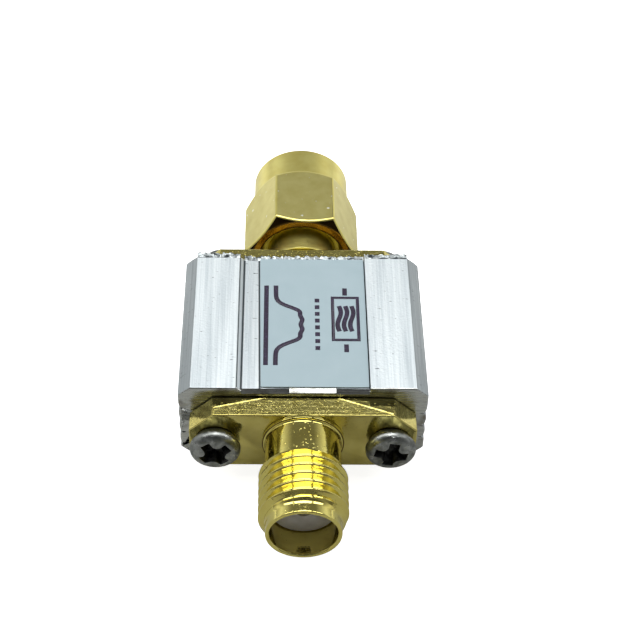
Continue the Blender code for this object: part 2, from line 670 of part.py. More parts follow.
def make_screw(name, x, face_y, outward, material):
    """Pan-head machine screw; its mesh points its head to -Y and is turned round at the rear."""
    profile = [
        (0, SCREW_LENGTH),
        (SCREW_RADIUS * 0.7, SCREW_LENGTH),
        (SCREW_RADIUS, SCREW_LENGTH - SCREW_RADIUS * 0.4),
        (SCREW_RADIUS, 0),
        (SCREW_SEAT_RADIUS, 0),
        (SCREW_HEAD_RADIUS, -SCREW_HEAD_LOW),
        (SCREW_HEAD_RADIUS, -SCREW_HEAD_EDGE),
    ]
    for i in range(1, 5):
        angle = math.radians(22.5) * i
        radius = SCREW_FACE_RADIUS + (SCREW_HEAD_RADIUS - SCREW_FACE_RADIUS) * math.cos(angle)
        rise = (SCREW_FACE_HEIGHT - SCREW_HEAD_EDGE) * math.sin(angle)
        profile.append((radius, -SCREW_HEAD_EDGE - rise))
    middle_height = SCREW_HEAD_HEIGHT - (SCREW_HEAD_HEIGHT - SCREW_FACE_HEIGHT) / 4
    profile.append((SCREW_FACE_RADIUS / 2, -middle_height))
    profile.append((0, -SCREW_HEAD_HEIGHT))
    screw = turned(name, profile, material, MEDIUM)
    bm = bmesh.new()
    quarter = [
        (RECESS_ARM_END, RECESS_REACH),
        (RECESS_ARM, RECESS_REACH * 0.6),
        (RECESS_CORNER, RECESS_CORNER),
        (RECESS_REACH * 0.6, RECESS_ARM),
        (RECESS_REACH, RECESS_ARM_END),
    ]
    turns = [-math.pi / 2 * i for i in range(4)]
    outline = []
    for turn in turns:
        for px, pz in quarter:
            outline.append(
                (px * math.cos(turn) - pz * math.sin(turn), px * math.sin(turn) + pz * math.cos(turn))
            )
    overrun = SCREW_HEAD_HEIGHT * 0.2
    top_y = -SCREW_HEAD_HEIGHT - overrun
    floor_y = -SCREW_HEAD_HEIGHT + RECESS_DEPTH
    flare = 1 + (1 - RECESS_TAPER) * overrun / RECESS_DEPTH
    face = bm.faces.new([bm.verts.new((px * flare, top_y, pz * flare)) for px, pz in outline])
    grown = bmesh.ops.extrude_face_region(bm, geom=[face])
    moved = [item for item in grown["geom"] if isinstance(item, bmesh.types.BMVert)]
    bmesh.ops.translate(bm, verts=moved, vec=(0, floor_y - top_y, 0))
    bmesh.ops.scale(bm, verts=moved, vec=(RECESS_TAPER / flare, 1, RECESS_TAPER / flare))
    recess = make_object(f"cut_{name}_recess", bm)
    recess.parent = screw
    cut(screw, recess)
    heading = Matrix.Rotation(math.pi if outward > 0 else 0, 4, "Z")
    spin = Matrix.Rotation(SCREW_TURNS[name], 4, "Y")
    place = Matrix.Translation((x, face_y + outward * SEAT_GAP, 0))
    screw.matrix_world = place @ heading @ spin
    return screw


# Circuit


def make_board(material):
    low = (-BOARD_HALF_WIDTH, SHELL_FRONT_Y + BOARD_END_MARGIN, BOARD_TOP_Z - BOARD_THICKNESS)
    high = (BOARD_HALF_WIDTH, SHELL_REAR_Y - BOARD_END_MARGIN, BOARD_TOP_Z)
    return boxed("circuit_board", low, high, 0, material)


def make_filter_case(material):
    half = CASE_SIZE / 2
    low = (-half, SHELL_MIDDLE_Y - half, PART_Z)
    high = (half, SHELL_MIDDLE_Y + half, PART_Z + CASE_HEIGHT)
    return boxed("filter_case", low, high, CASE_EDGE, material)


def make_filter_lid(material):
    half = CASE_SIZE / 2 - LID_MARGIN
    base_z = PART_Z + CASE_HEIGHT + SEAT_GAP
    low = (-half, SHELL_MIDDLE_Y - half, base_z)
    high = (half, SHELL_MIDDLE_Y + half, base_z + LID_THICKNESS)
    return boxed("filter_lid", low, high, LID_THICKNESS / 4, material)


def make_chip(name, x, y, along_x, material):
    """Surface-mount chip: a block whose two metal end caps stand slightly proud."""
    proud = CHIP_CAP_PROUD
    half = CHIP_LENGTH / 2
    inner = half - CHIP_CAP_LENGTH
    side = CHIP_WIDTH / 2
    right = [(side, -half), (side, -inner), (side - proud, -inner), (side - proud, inner)]
    right += [(side, inner), (side, half)]
    outline = right + [(-px, py) for px, py in reversed(right)]
    bm = bmesh.new()
    face = bm.faces.new([bm.verts.new((px, py, 0)) for px, py in outline])
    grown = bmesh.ops.extrude_face_region(bm, geom=[face])
    moved = [item for item in grown["geom"] if isinstance(item, bmesh.types.BMVert)]
    bmesh.ops.translate(bm, verts=moved, vec=(0, 0, CHIP_WIDTH))
    chip = make_object(name, bm, material)
    turn = Matrix.Rotation(math.pi / 2 if along_x else 0, 4, "Z")
    chip.matrix_world = Matrix.Translation((x, y, PART_Z)) @ turn
    return chip


def make_solder(name, tail_end_y, outward, material):
    """Solder saddle over a centre conductor's tail, open below where the tail lies on its pad."""
    inner = TAIL_RADIUS + SEAT_GAP
    crest = inner + SOLDER_COVER
    over_tail = arc((0, 0), inner, 0, math.pi, 8)
    over_top = arc((0, 0), crest, math.radians(150), math.radians(30), 6)
    outline = [(inner, PART_Z)] + over_tail + [(-inner, PART_Z), (-SOLDER_HALF_WIDTH, PART_Z)]
    outline += over_top + [(SOLDER_HALF_WIDTH, PART_Z)]
    start_y = tail_end_y - outward * SOLDER_LENGTH
    return extruded(name, outline, min(start_y, tail_end_y), max(start_y, tail_end_y), material)


def build():
    aluminium = make_material("sawn_aluminium", (0.78, 0.80, 0.82), 0.28, 1.0)
    sticker = make_material("matte_label", (0.44, 0.52, 0.58), 0.6, 0.0)
    gold = make_material("gold_plate", (0.78, 0.68, 0.30), 0.16, 1.0)
    insulator = make_material("white_insulator", (0.80, 0.80, 0.80), 0.45, 0.0)
    steel = make_material("dark_steel", (0.32, 0.33, 0.33), 0.3, 1.0)
    spring = make_material("spring_bronze", (0.70, 0.50, 0.25), 0.3, 1.0)
    rubber = make_material("red_silicone", (0.55, 0.10, 0.05), 0.55, 0.0)
    laminate = make_material("green_laminate", (0.03, 0.20, 0.08), 0.4, 0.0)
    ceramic = make_material("cream_ceramic", (0.60, 0.52, 0.38), 0.5, 0.0)
    tin = make_material("bright_tin", (0.72, 0.72, 0.72), 0.3, 1.0)

    make_shell(aluminium)
    make_label(sticker)
    make_flange("front_flange", FRONT_BACK_Y, -1, gold)
    make_flange("rear_flange", REAR_BACK_Y, 1, gold)

    make_jack_barrel(gold)
    make_jack_insulator(insulator)
    make_jack_contact(gold)

    make_plug_body(gold)
    make_plug_insulator(insulator)
    make_plug_pin(gold)
    make_retaining_ring(spring)
    make_gasket(rubber)
    make_coupling_nut(gold)

    half_spacing = SCREW_SPACING / 2
    make_screw("screw_front_left", -half_spacing, FRONT_FACE_Y, -1, steel)
    make_screw("screw_front_right", half_spacing, FRONT_FACE_Y, -1, steel)
    make_screw("screw_rear_left", -half_spacing, REAR_FACE_Y, 1, steel)
    make_screw("screw_rear_right", half_spacing, REAR_FACE_Y, 1, steel)

    make_board(laminate)
    make_filter_case(ceramic)
    make_filter_lid(tin)
    offset = CASE_SIZE / 2 + CHIP_CLEARANCE + CHIP_LENGTH / 2
    make_chip("input_capacitor", 0, SHELL_MIDDLE_Y - offset, False, ceramic)
    make_chip("output_capacitor", 0, SHELL_MIDDLE_Y + offset, False, ceramic)
    make_chip("input_inductor", CHIP_SPACING, SHELL_MIDDLE_Y - offset, True, ceramic)
    make_chip("output_inductor", -CHIP_SPACING, SHELL_MIDDLE_Y + offset, True, ceramic)
    make_solder("solder_front", FRONT_BACK_Y + TAIL_LENGTH, 1, tin)
    make_solder("solder_rear", REAR_BACK_Y - TAIL_LENGTH, -1, tin)


clear_scene()
build()
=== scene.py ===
import math
import random

import bmesh
import bpy
from mathutils import Matrix, Vector


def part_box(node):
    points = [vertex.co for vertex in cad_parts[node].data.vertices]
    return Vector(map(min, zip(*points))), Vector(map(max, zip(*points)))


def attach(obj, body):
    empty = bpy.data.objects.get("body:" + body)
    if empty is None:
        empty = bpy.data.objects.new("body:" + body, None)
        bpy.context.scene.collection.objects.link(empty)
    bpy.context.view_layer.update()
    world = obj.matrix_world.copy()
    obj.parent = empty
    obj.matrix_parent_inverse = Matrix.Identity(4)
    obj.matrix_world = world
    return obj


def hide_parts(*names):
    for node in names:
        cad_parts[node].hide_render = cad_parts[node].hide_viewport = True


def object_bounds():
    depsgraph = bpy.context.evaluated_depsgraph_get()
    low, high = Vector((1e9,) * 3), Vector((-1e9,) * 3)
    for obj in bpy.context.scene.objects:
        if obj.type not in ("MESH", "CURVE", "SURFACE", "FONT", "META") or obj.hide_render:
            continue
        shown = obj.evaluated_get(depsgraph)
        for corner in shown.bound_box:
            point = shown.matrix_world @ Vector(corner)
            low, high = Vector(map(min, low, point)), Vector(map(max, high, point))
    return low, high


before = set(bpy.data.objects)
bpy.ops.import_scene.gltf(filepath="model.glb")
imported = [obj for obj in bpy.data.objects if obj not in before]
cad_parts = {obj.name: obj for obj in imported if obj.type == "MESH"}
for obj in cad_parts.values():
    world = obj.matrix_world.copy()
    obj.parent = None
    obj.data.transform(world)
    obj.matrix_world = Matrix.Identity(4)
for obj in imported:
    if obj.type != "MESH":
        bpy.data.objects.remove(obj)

cad_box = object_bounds()


# Studio: a pale matte table under three ceiling softboxes in a row, with a dimmer room around.
# The camera looks down at the jack's end from 46 degrees, where the photograph was taken from.
MM = 0.001
CAMERA_PLACE = Vector((-1.78, -76.9, 81.75)) * MM
CAMERA_RIGHT = Vector((0.9996, -0.0145, 0.0246))
CAMERA_UP = Vector((-0.0067, 0.7188, 0.6952))
FOCAL_LENGTH = 83.644
SENSOR_WIDTH = 36.0


def linear(code, alpha=1.0):
    """An sRGB hex colour as Blender's linear RGBA."""
    parts = [int(code[i : i + 2], 16) / 255 for i in (1, 3, 5)]
    steps = [part / 12.92 if part <= 0.04045 else ((part + 0.055) / 1.055) ** 2.4 for part in parts]
    return (*steps, alpha)


def add(tree, kind, inputs=None, **settings):
    """Add a node with its settings; inputs takes a value or another node's socket for each name."""
    made = tree.nodes.new(kind)
    for name, value in settings.items():
        setattr(made, name, value)
    for name, value in (inputs or {}).items():
        value = value.socket if isinstance(value, Number) else value
        if isinstance(value, bpy.types.NodeSocket):
            tree.links.new(value, made.inputs[name])
        else:
            made.inputs[name].default_value = value
    return made


class Number:
    """A number in a node tree; Python's operators on it add the tree's Math nodes."""

    def __init__(self, tree, socket):
        self.tree = tree
        self.socket = socket

    def math(self, operation, *values, **settings):
        """One Math node, this number first."""
        return Number.of(self.tree, operation, self, *values, **settings)

    @staticmethod
    def of(tree, operation, *values, **settings):
        """One Math node of any values."""
        made = add(tree, "ShaderNodeMath", dict(enumerate(values)), operation=operation, **settings)
        return Number(tree, made.outputs[0])

    def __add__(self, other):
        return self.math("ADD", other)

    def __sub__(self, other):
        return self.math("SUBTRACT", other)

    def __rsub__(self, other):
        return Number.of(self.tree, "SUBTRACT", other, self)

    def __mul__(self, other):
        return self.math("MULTIPLY", other)

    def __truediv__(self, other):
        return self.math("DIVIDE", other)

    def __abs__(self):
        return self.math("ABSOLUTE")

    def most(self, other):
        return self.math("MAXIMUM", other)

    def least(self, other):
        return self.math("MINIMUM", other)


def split_up(tree, place):
    """X, Y and Z of a vector."""
    return [Number(tree, socket) for socket in add(tree, "ShaderNodeSeparateXYZ", {0: place}).outputs]


def new_material(name, colour, metallic, roughness, **more):
    """A Principled material with its plain values on the shader's own sockets."""
    material = bpy.data.materials.new(name)
    material.use_nodes = True
    shader = material.node_tree.nodes["Principled BSDF"]
    shader.inputs["Base Color"].default_value = linear(colour)
    shader.inputs["Metallic"].default_value = metallic
    shader.inputs["Roughness"].default_value = roughness
    for name, value in more.items():
        shader.inputs[name.replace("_", " ")].default_value = value
    return material, material.node_tree, shader


def ramp(tree, value, low, high, start=0.0, end=1.0):
    """A value's range from low to high stretched over start to end."""
    span = {"Value": value, "From Min": low, "From Max": high, "To Min": start, "To Max": end}
    return Number(tree, add(tree, "ShaderNodeMapRange", span).outputs[0])


def object_place(tree):
    """X, Y and Z of the Object coordinates."""
    return split_up(tree, add(tree, "ShaderNodeTexCoord").outputs["Object"])


def new_object(name, data):
    """An object of this data, in the scene."""
    made = bpy.data.objects.new(name, data)
    bpy.context.scene.collection.objects.link(made)
    return made


camera_data = bpy.data.cameras.new("camera")
camera_data.lens = FOCAL_LENGTH
camera_data.sensor_width = SENSOR_WIDTH
camera_data.clip_start = 5 * MM
camera_data.clip_end = 5
camera = new_object("camera", camera_data)
back = CAMERA_RIGHT.cross(CAMERA_UP).normalized()
up = back.cross(CAMERA_RIGHT).normalized()
turn = Matrix((CAMERA_RIGHT, up, back)).transposed().to_4x4()
camera.matrix_world = Matrix.Translation(CAMERA_PLACE) @ turn
bpy.context.scene.camera = camera

TABLE_SIZE = 1.6
TABLE_DROP = 0.01
TABLE_GLOW = 0.85
BOUNCE_GLOW = 0.03
BOUNCE_GLOW_BACK = 0.6
GLOW_FROM = 4
GLOW_TO = 40
table_z = cad_box[0][2] - TABLE_DROP * MM
bm = bmesh.new()
bmesh.ops.create_grid(bm, x_segments=1, y_segments=1, size=TABLE_SIZE / 2)
bmesh.ops.translate(bm, verts=bm.verts, vec=(0, 0, table_z))
table_mesh = bpy.data.meshes.new("table")
bm.to_mesh(table_mesh)
bm.free()
table = new_object("table", table_mesh)
table_paint, tree, shader = new_material("matte_table_paint", "#F8F8F8", 0.0, 0.8)
shader.inputs["Emission Color"].default_value = linear("#FFFFFF")
shader.inputs["Emission Strength"].default_value = TABLE_GLOW
table_mesh.materials.append(table_paint)
table.visible_glossy = False
table.visible_diffuse = False
# A second table is all that the part mirrors and is lit by from below. Its paint glows, a painted light: dim
# near the part, brighter beyond it
glowing_bounce_paint, tree, shader = new_material("glowing_bounce_floor", "#EDEDEB", 0.0, 0.9)
shader.inputs["Emission Color"].default_value = linear("#FFFFFF")
glow = ramp(tree, object_place(tree)[1], GLOW_FROM * MM, GLOW_TO * MM, BOUNCE_GLOW, BOUNCE_GLOW_BACK)
tree.links.new(glow.socket, shader.inputs["Emission Strength"])
bounce = new_object("table_bounce", table_mesh.copy())
bounce.data.materials[0] = glowing_bounce_paint
bounce.data.transform(Matrix.Translation((0, 0, -TABLE_DROP * MM)))
bounce.visible_camera = False

PANEL_HEIGHT = 0.40
PANEL_LENGTH = 0.26
PANEL_BACK = 0.10
# Each softbox: where it hangs along X, its width and its power
PANELS = ((-0.40, 0.33, 0.85), (-0.02, 0.34, 1.1), (0.35, 0.30, 0.85))
for number, (panel_x, panel_width, panel_light) in enumerate(PANELS):
    lamp = bpy.data.lights.new(f"softbox_{number}", "AREA")
    lamp.shape = "RECTANGLE"
    lamp.size = panel_width
    lamp.size_y = PANEL_LENGTH
    lamp.energy = panel_light
    softbox = new_object(f"softbox_{number}", lamp)
    softbox.location = (panel_x, PANEL_BACK, PANEL_HEIGHT)

# The room by direction: brightest a little above the horizon, dim overhead and dark on the camera's
# side, which is what the plated parts mirror.
ROOM_OVERHEAD = 0.18
ROOM_BRIGHT = 0.72
BRIGHT_AT = 0.27
BRIGHT_SPREAD = 0.38
FRONT_FALL = 0.7
FRONT_TURN = -1.6
room = bpy.data.worlds.new("room")
bpy.context.scene.world = room
room.use_nodes = True
tree = room.node_tree
toward = split_up(tree, add(tree, "ShaderNodeTexCoord").outputs["Generated"])
away = abs(toward[2] - BRIGHT_AT)
band = away.math("MULTIPLY_ADD", -1 / BRIGHT_SPREAD, 1.0, use_clamp=True)
all_round = band.math("MULTIPLY_ADD", ROOM_BRIGHT, ROOM_OVERHEAD)
front = toward[1].math("MULTIPLY", FRONT_TURN, use_clamp=True)
shade = all_round * front.math("MULTIPLY_ADD", -FRONT_FALL, 1.0)
backdrop = tree.nodes["Background"]
tree.links.new(shade.socket, backdrop.inputs["Strength"])
backdrop.inputs["Color"].default_value = linear("#FFFFFF")

bpy.context.scene.view_settings.view_transform = "Standard"


# Housing: a length of ribbed aluminium extrusion, bare as it left the die, sawn square at both ends
# and left with its burr. A shallow bed along its top takes the label; inside are a cavity with a
# slot each side for the board, and the screws' ports.
SHELL_LOW, SHELL_HIGH = (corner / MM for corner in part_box("shell"))
HALF_WIDTH = SHELL_HIGH.x
HALF_HEIGHT = SHELL_HIGH.z
CORNER_WIDTH = 0.88
CORNER_HEIGHT = 0.80
CORNER_BULGE = 0.03
RIB_PITCH = 1.3
RIB_LAND = 0.75
RIB_ROWS = 8
RIGHT_RIBS = {"Depth": 0.26, "First": 0.98, "Last": -1.62}
LEFT_RIBS = {"Depth": 0.15, "First": 1.45, "Last": -2.45}
BED_HALF = 4.72
BED_DEPTH = 0.30
BED_LEFT_SLOPE = 0.32
BED_RIGHT_SLOPE = 0.05
CAVITY_HALF_WIDTH = 4.555
CAVITY_HALF_HEIGHT = 2.35
BOARD_SLOT = (-0.45, -1.33, 0.4)
PORT_PLACE = 6.195
PORT_RADIUS = 1.04
BURR = 0.13
# Each cut of the file on the bed's front edge: from x to x, how far back it reaches, and its slope
FILED_CUTS = ((BED_LEFT_SLOPE - BED_HALF, -1.0, 0.26, math.radians(45)), (-1.0, 2.3, 0.38, math.radians(21)),
              (2.3, BED_HALF - BED_RIGHT_SLOPE, 0.26, math.radians(45)))
FILED_DEEPEST = 0.31
WELD = 0.0015
WALL_SKIN = 0.01
SMOOTH_BELOW = math.radians(35)
CAVITY_PAST = 1
FACING = 0.9
FRONT_LEAN = 0.3


def mapped(tree, x, y=None, z=None):
    """Object coordinates with the pattern's size in millimetres along each axis."""
    place = add(tree, "ShaderNodeTexCoord").outputs["Object"]
    sizes = [1 / (size * MM) for size in (x, y or x, z or x)]
    return add(tree, "ShaderNodeMapping", {"Vector": place, "Scale": sizes}).outputs[0]


def noise(tree, place, low=0.35, high=0.65, detail=3.0):
    """Noise with its range from low to high stretched over 0 to 1."""
    raw = add(tree, "ShaderNodeTexNoise", {"Vector": place, "Scale": 1.0, "Detail": detail}).outputs[0]
    return ramp(tree, raw, low, high)


def tint(tree, shader, share, *colours):
    """Blend two hex colours by share; a socket may stand for the first."""
    sides = [colour if isinstance(colour, bpy.types.NodeSocket) else linear(colour) for colour in colours]
    values = {0: share, 6: sides[0], 7: sides[1]}
    mixed = add(tree, "ShaderNodeMix", values, data_type="RGBA").outputs[2]
    tree.links.new(mixed, shader.inputs["Base Color"])
    return mixed


def worn(tree, shader, share, low, high):
    """Roughness from low to high by share."""
    tree.links.new(ramp(tree, share, 0.0, 1.0, low, high).socket, shader.inputs["Roughness"])


def relief(tree, shader, height, depth, under=None):
    """Bump of a height from 0 to 1, depth in millimetres, over the bump under it."""
    values = {"Height": height, "Distance": depth * MM, "Strength": 1.0}
    if under:
        values["Normal"] = under
    bump = add(tree, "ShaderNodeBump", values).outputs[0]
    tree.links.new(bump, shader.inputs["Normal"])
    return bump


def piece_from(name, bm, *finishes):
    """Turn a bmesh into a named piece at the origin, smooth where its faces meet gently."""
    bmesh.ops.remove_doubles(bm, verts=bm.verts, dist=WELD * MM)
    bmesh.ops.recalc_face_normals(bm, faces=bm.faces)
    mesh = bpy.data.meshes.new(name)
    bm.to_mesh(mesh)
    bm.free()
    mesh.shade_smooth()
    mesh.set_sharp_from_angle(angle=SMOOTH_BELOW)
    for finish in finishes:
        mesh.materials.append(finish)
    return new_object(name, mesh)


def prism(outline, start_y, end_y):
    """A bmesh of an outline of (x, z) points drawn along Y, all in millimetres."""
    bm = bmesh.new()
    face = bm.faces.new([bm.verts.new((x * MM, start_y * MM, z * MM)) for x, z in outline])
    grown = bmesh.ops.extrude_face_region(bm, geom=[face])["geom"]
    moved = [item for item in grown if isinstance(item, bmesh.types.BMVert)]
    bmesh.ops.translate(bm, verts=moved, vec=(0, (end_y - start_y) * MM, 0))
    return bm


def block(size, shift, turns, place, flip=1):
    """A bmesh box about shift, turned about each axis in turn, mirrored along Y by flip -1, then moved."""
    bm = bmesh.new()
    bmesh.ops.create_cube(bm, size=1)
    bmesh.ops.scale(bm, verts=bm.verts, vec=Vector(size) * MM)
    bmesh.ops.translate(bm, verts=bm.verts, vec=Vector(shift) * MM)
    for angle, axis in turns:
        bmesh.ops.rotate(bm, verts=bm.verts, matrix=Matrix.Rotation(angle, 3, axis))
    bmesh.ops.scale(bm, verts=bm.verts, vec=(1, flip, 1))
    bmesh.ops.translate(bm, verts=bm.verts, vec=Vector(place) * MM)
    return bm


def circle(x, z, radius, points):
    """Points evenly round a circle."""
    angles = [2 * math.pi * i / points for i in range(points)]
    return [(x + radius * math.cos(angle), z + radius * math.sin(angle)) for angle in angles]


def cut(piece, cutter, operation="DIFFERENCE"):
    """Boolean with a helper piece, which settle() takes away."""
    modifier = piece.modifiers.new("cut", "BOOLEAN")
    modifier.operation = operation
    modifier.solver = "EXACT"
    modifier.object = cutter


def settle(piece):
    """Turn a piece and its modifiers into one plain mesh."""
    helpers = [m.object for m in piece.modifiers if m.type == "BOOLEAN"]
    graph = bpy.context.evaluated_depsgraph_get()
    mesh = bpy.data.meshes.new_from_object(piece.evaluated_get(graph))
    piece.modifiers.clear()
    rough = piece.data
    piece.data = mesh
    bpy.data.meshes.remove(rough)
    mesh.name = piece.name
    for helper in helpers:
        bpy.data.meshes.remove(helper.data)


def break_edges(piece, width, segments, wanted):
    """Round the edges that wanted(edge) picks, then shade anew."""
    bm = bmesh.new()
    bm.from_mesh(piece.data)
    edges = [edge for edge in bm.edges if len(edge.link_faces) == 2 and wanted(edge)]
    bmesh.ops.bevel(bm, geom=edges, offset=width * MM, segments=segments, affect="EDGES", profile=0.5)
    bmesh.ops.remove_doubles(bm, verts=bm.verts, dist=WELD * MM)
    bm.to_mesh(piece.data)
    bm.free()
    piece.data.shade_smooth()
    piece.data.set_sharp_from_angle(angle=SMOOTH_BELOW)
    flat = piece.modifiers.new("flat_faces", "WEIGHTED_NORMAL")
    flat.weight = 100
    flat.keep_sharp = True
    settle(piece)


def hand_over(piece, body, slot, *nodes):
    """Say which body a piece rides and which nodes it takes the place of; slot is not used."""
    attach(piece, body)
    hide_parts(*nodes)


def set_inputs(modifier, values):
    """Set a node modifier's inputs by their sockets' identifiers."""
    for item in modifier.node_group.interface.items_tree:
        if item.item_type == "SOCKET" and item.in_out == "INPUT" and item.name in values:
            modifier[item.identifier] = values[item.name]


def new_tree(name, inputs):
    """A geometry tree with named inputs: a number for a size, a whole number, or None for a material."""
    tree = bpy.data.node_groups.new(name, "GeometryNodeTree")
    tree.interface.new_socket("Geometry", in_out="INPUT", socket_type="NodeSocketGeometry")
    for label, value in inputs.items():
        kind = {float: "Float", int: "Int", bool: "Bool"}.get(type(value), "Material")
        socket = tree.interface.new_socket(label, in_out="INPUT", socket_type=f"NodeSocket{kind}")
        if value is not None:
            socket.default_value = value
    tree.interface.new_socket("Geometry", in_out="OUTPUT", socket_type="NodeSocketGeometry")
    given = add(tree, "NodeGroupInput").outputs
    return tree, {socket.name: Number(tree, socket) for socket in given}


def end_tree(tree, geometry, finish):
    """Close a geometry tree with Realize Instances and Set Material."""
    real = add(tree, "GeometryNodeRealizeInstances", {"Geometry": geometry}).outputs[0]
    done = add(tree, "GeometryNodeSetMaterial", {"Geometry": real, "Material": finish}).outputs[0]
    add(tree, "NodeGroupOutput", {"Geometry": done})


# The tree scallops one side wall: every point's distance from the nearest root sets how far it
# goes in, on a quarter ellipse, so the ribs bulge and meet in V-shaped roots.
RIB_INPUTS = {"Side": 1.0, "Half width": 0.0, "Depth": 0.0, "First": 0.0, "Last": 0.0}
tree, given = new_tree("ribbed_wall", {**RIB_INPUTS, "Pitch": 0.0, "Land": 0.0, "Finish": None})
across, _, up = split_up(tree, add(tree, "GeometryNodeInputPosition").outputs[0])
half_pitch = given["Pitch"] * 0.5
below_first = given["First"] - up
wave = below_first.math("PINGPONG", half_pitch)
tail = (given["Last"] - up) * (given["Pitch"] / given["Land"])
distance = wave.most(below_first * -1.0).most(tail)
nearness = (1.0 - distance / half_pitch).most(0.0)
fall = 1.0 - (1.0 - nearness * nearness).most(0.0).math("SQRT")
inset = fall * given["Depth"]
outward = across * given["Side"]
on_wall = outward.math("GREATER_THAN", given["Half width"] - WALL_SKIN * MM)
shift = inset * given["Side"] * -1.0
offset = add(tree, "ShaderNodeCombineXYZ", {0: shift}).outputs[0]
walls = {"Geometry": given["Geometry"], "Selection": on_wall, "Offset": offset}
moved = add(tree, "GeometryNodeSetPosition", walls).outputs[0]
end_tree(tree, moved, given["Finish"])
ribbed_wall = tree


def wall_rows(ribs):
    """Heights down a side wall, closest together where the ribs curve most."""
    top = HALF_HEIGHT - CORNER_HEIGHT
    rows = {round(top, 5), round(-top, 5)}
    root = ribs["First"]
    while root > ribs["Last"] - WALL_SKIN:
        below = RIB_LAND if root < ribs["Last"] + WALL_SKIN else RIB_PITCH
        for i in range(RIB_ROWS + 1):
            away = 1 - math.sin(math.radians(90) * i / RIB_ROWS)
            rows.add(round(root + away * RIB_PITCH / 2, 5))
            rows.add(round(root - away * below / 2, 5))
        root -= RIB_PITCH
    return sorted(rows, reverse=True)


def soft_corner(up):
    """Slightly bulged bevel between the flat and the side wall; up is 1 at the top, -1 below."""
    steps = []
    for i in range(9):
        turn = i / 8
        bulge = CORNER_BULGE * 4 * turn * (1 - turn) / math.sqrt(2)
        x = HALF_WIDTH - CORNER_WIDTH + turn * CORNER_WIDTH + bulge
        steps.append((x, up * (HALF_HEIGHT - turn * CORNER_HEIGHT + bulge)))
    return steps if up > 0 else steps[::-1]


def half_section(ribs):
    """One side of the extrusion's outline, from the top's edge round to the bottom's."""
    return soft_corner(1) + [(HALF_WIDTH, z) for z in wall_rows(ribs)[1:-1]] + soft_corner(-1)


# Dark lines of painted shade along the bed's edges and in the gap beside the label's edge: x on the axis,
# slant and half width
LABEL_LOW, LABEL_HIGH = (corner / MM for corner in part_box("label"))
LABEL_SKEW = 0.2
SHADE_LINE_SOFT = 0.05
BESIDE_LABEL = 0.07
slant = LABEL_SKEW / (LABEL_HIGH.y - LABEL_LOW.y)
label_gap_shade = LABEL_LOW.x + slant * LABEL_HIGH.y - BESIDE_LABEL
SHADE_LINES = ((-BED_HALF, 0.0, 0.02), (BED_LEFT_SLOPE - BED_HALF, 0.0, 0.05),
         (BED_HALF - BED_RIGHT_SLOPE, 0.0, 0.02), (label_gap_shade, slant, 0.04))


def die_drawn(name, pale, dark, low, high):
    """Extruded: the die drew fine dark lines along the length, and handling left short nicks across; on the
    top, painted shade darkens lines along the bed's edges and beside the label.
    """
    finish, tree, shader = new_material(name, pale, 1.0, low)
    lines = noise(tree, mapped(tree, 0.13, 9.0, 0.13), 0.38, 0.66)
    bands = noise(tree, mapped(tree, 0.9, 14.0, 0.9), 0.4, 0.7, 1.0)
    nicks_and_painted_light = noise(tree, mapped(tree, 0.5, 0.13, 0.5), 0.68, 0.74)
    streaked = tint(tree, shader, (lines + bands) * 0.5, pale, dark)
    place = object_place(tree)
    on_top = place[2].math("GREATER_THAN", 0.0)
    # Painted shade: dark lines along the bed's edges and the label's edge, on the top only, tinted with the
    # nicks
    for shade_line_x, slant, reach in SHADE_LINES:
        from_shade_line = abs(place[1].math("MULTIPLY_ADD", slant, place[0]) - shade_line_x * MM)
        shade_line = ramp(tree, from_shade_line, reach * MM, (reach + SHADE_LINE_SOFT) * MM, 1.0, 0.0)
        nicks_and_painted_light = nicks_and_painted_light.most(shade_line * on_top)
    tint(tree, shader, nicks_and_painted_light, streaked, "#4E5458")
    worn(tree, shader, lines, low, high)
    grain = noise(tree, mapped(tree, 0.16), 0.3, 0.7, 2.0)
    relief(tree, shader, grain, 0.008, relief(tree, shader, lines, -0.004))
    return finish


aluminium = die_drawn("extruded_aluminium", "#E2E9EB", "#C2CBCF", 0.5, 0.62)
# The sides and bevels take a darker copy of the top's aluminium: painted shade
shaded_side_aluminium = die_drawn("extruded_aluminium_sides_painted_shade", "#B9C1C3", "#929A9E", 0.3, 0.4)

# Sawn and brushed: fine cuts along X, with a stain or two
sawn, tree, shader = new_material("sawn_aluminium", "#B9BCB8", 1.0, 0.24)
cuts = noise(tree, mapped(tree, 7.0, 0.4, 0.1))
stains = noise(tree, mapped(tree, 1.1), 0.5, 0.7)
tint(tree, shader, stains, "#C4C7C3", "#8A867C")
worn(tree, shader, cuts, 0.16, 0.34)
relief(tree, shader, cuts, -0.008)

section = [(-BED_HALF, HALF_HEIGHT), (-BED_HALF + BED_LEFT_SLOPE, HALF_HEIGHT - BED_DEPTH)]
section += [(BED_HALF - BED_RIGHT_SLOPE, HALF_HEIGHT - BED_DEPTH), (BED_HALF, HALF_HEIGHT)]
section += half_section(RIGHT_RIBS)
section += [(-x, z) for x, z in reversed(half_section(LEFT_RIBS))]
shell = piece_from("housing", prism(section, SHELL_LOW.y, SHELL_HIGH.y), aluminium, sawn)
slot_top, slot_base, slot_depth = BOARD_SLOT
wall = [(CAVITY_HALF_WIDTH, CAVITY_HALF_HEIGHT), (CAVITY_HALF_WIDTH, slot_top)]
wall += [(CAVITY_HALF_WIDTH + slot_depth, slot_top), (CAVITY_HALF_WIDTH + slot_depth, slot_base)]
wall += [(CAVITY_HALF_WIDTH, slot_base), (CAVITY_HALF_WIDTH, -CAVITY_HALF_HEIGHT)]
cavity = wall + [(-x, z) for x, z in reversed(wall)]
through = (SHELL_LOW.y - CAVITY_PAST, SHELL_HIGH.y + CAVITY_PAST)
cut(shell, piece_from("cut_cavity", prism(cavity, *through)))
for x in (-PORT_PLACE, PORT_PLACE):
    cut(shell, piece_from("cut_port", prism(circle(x, 0, PORT_RADIUS, 32), *through)))
settle(shell)
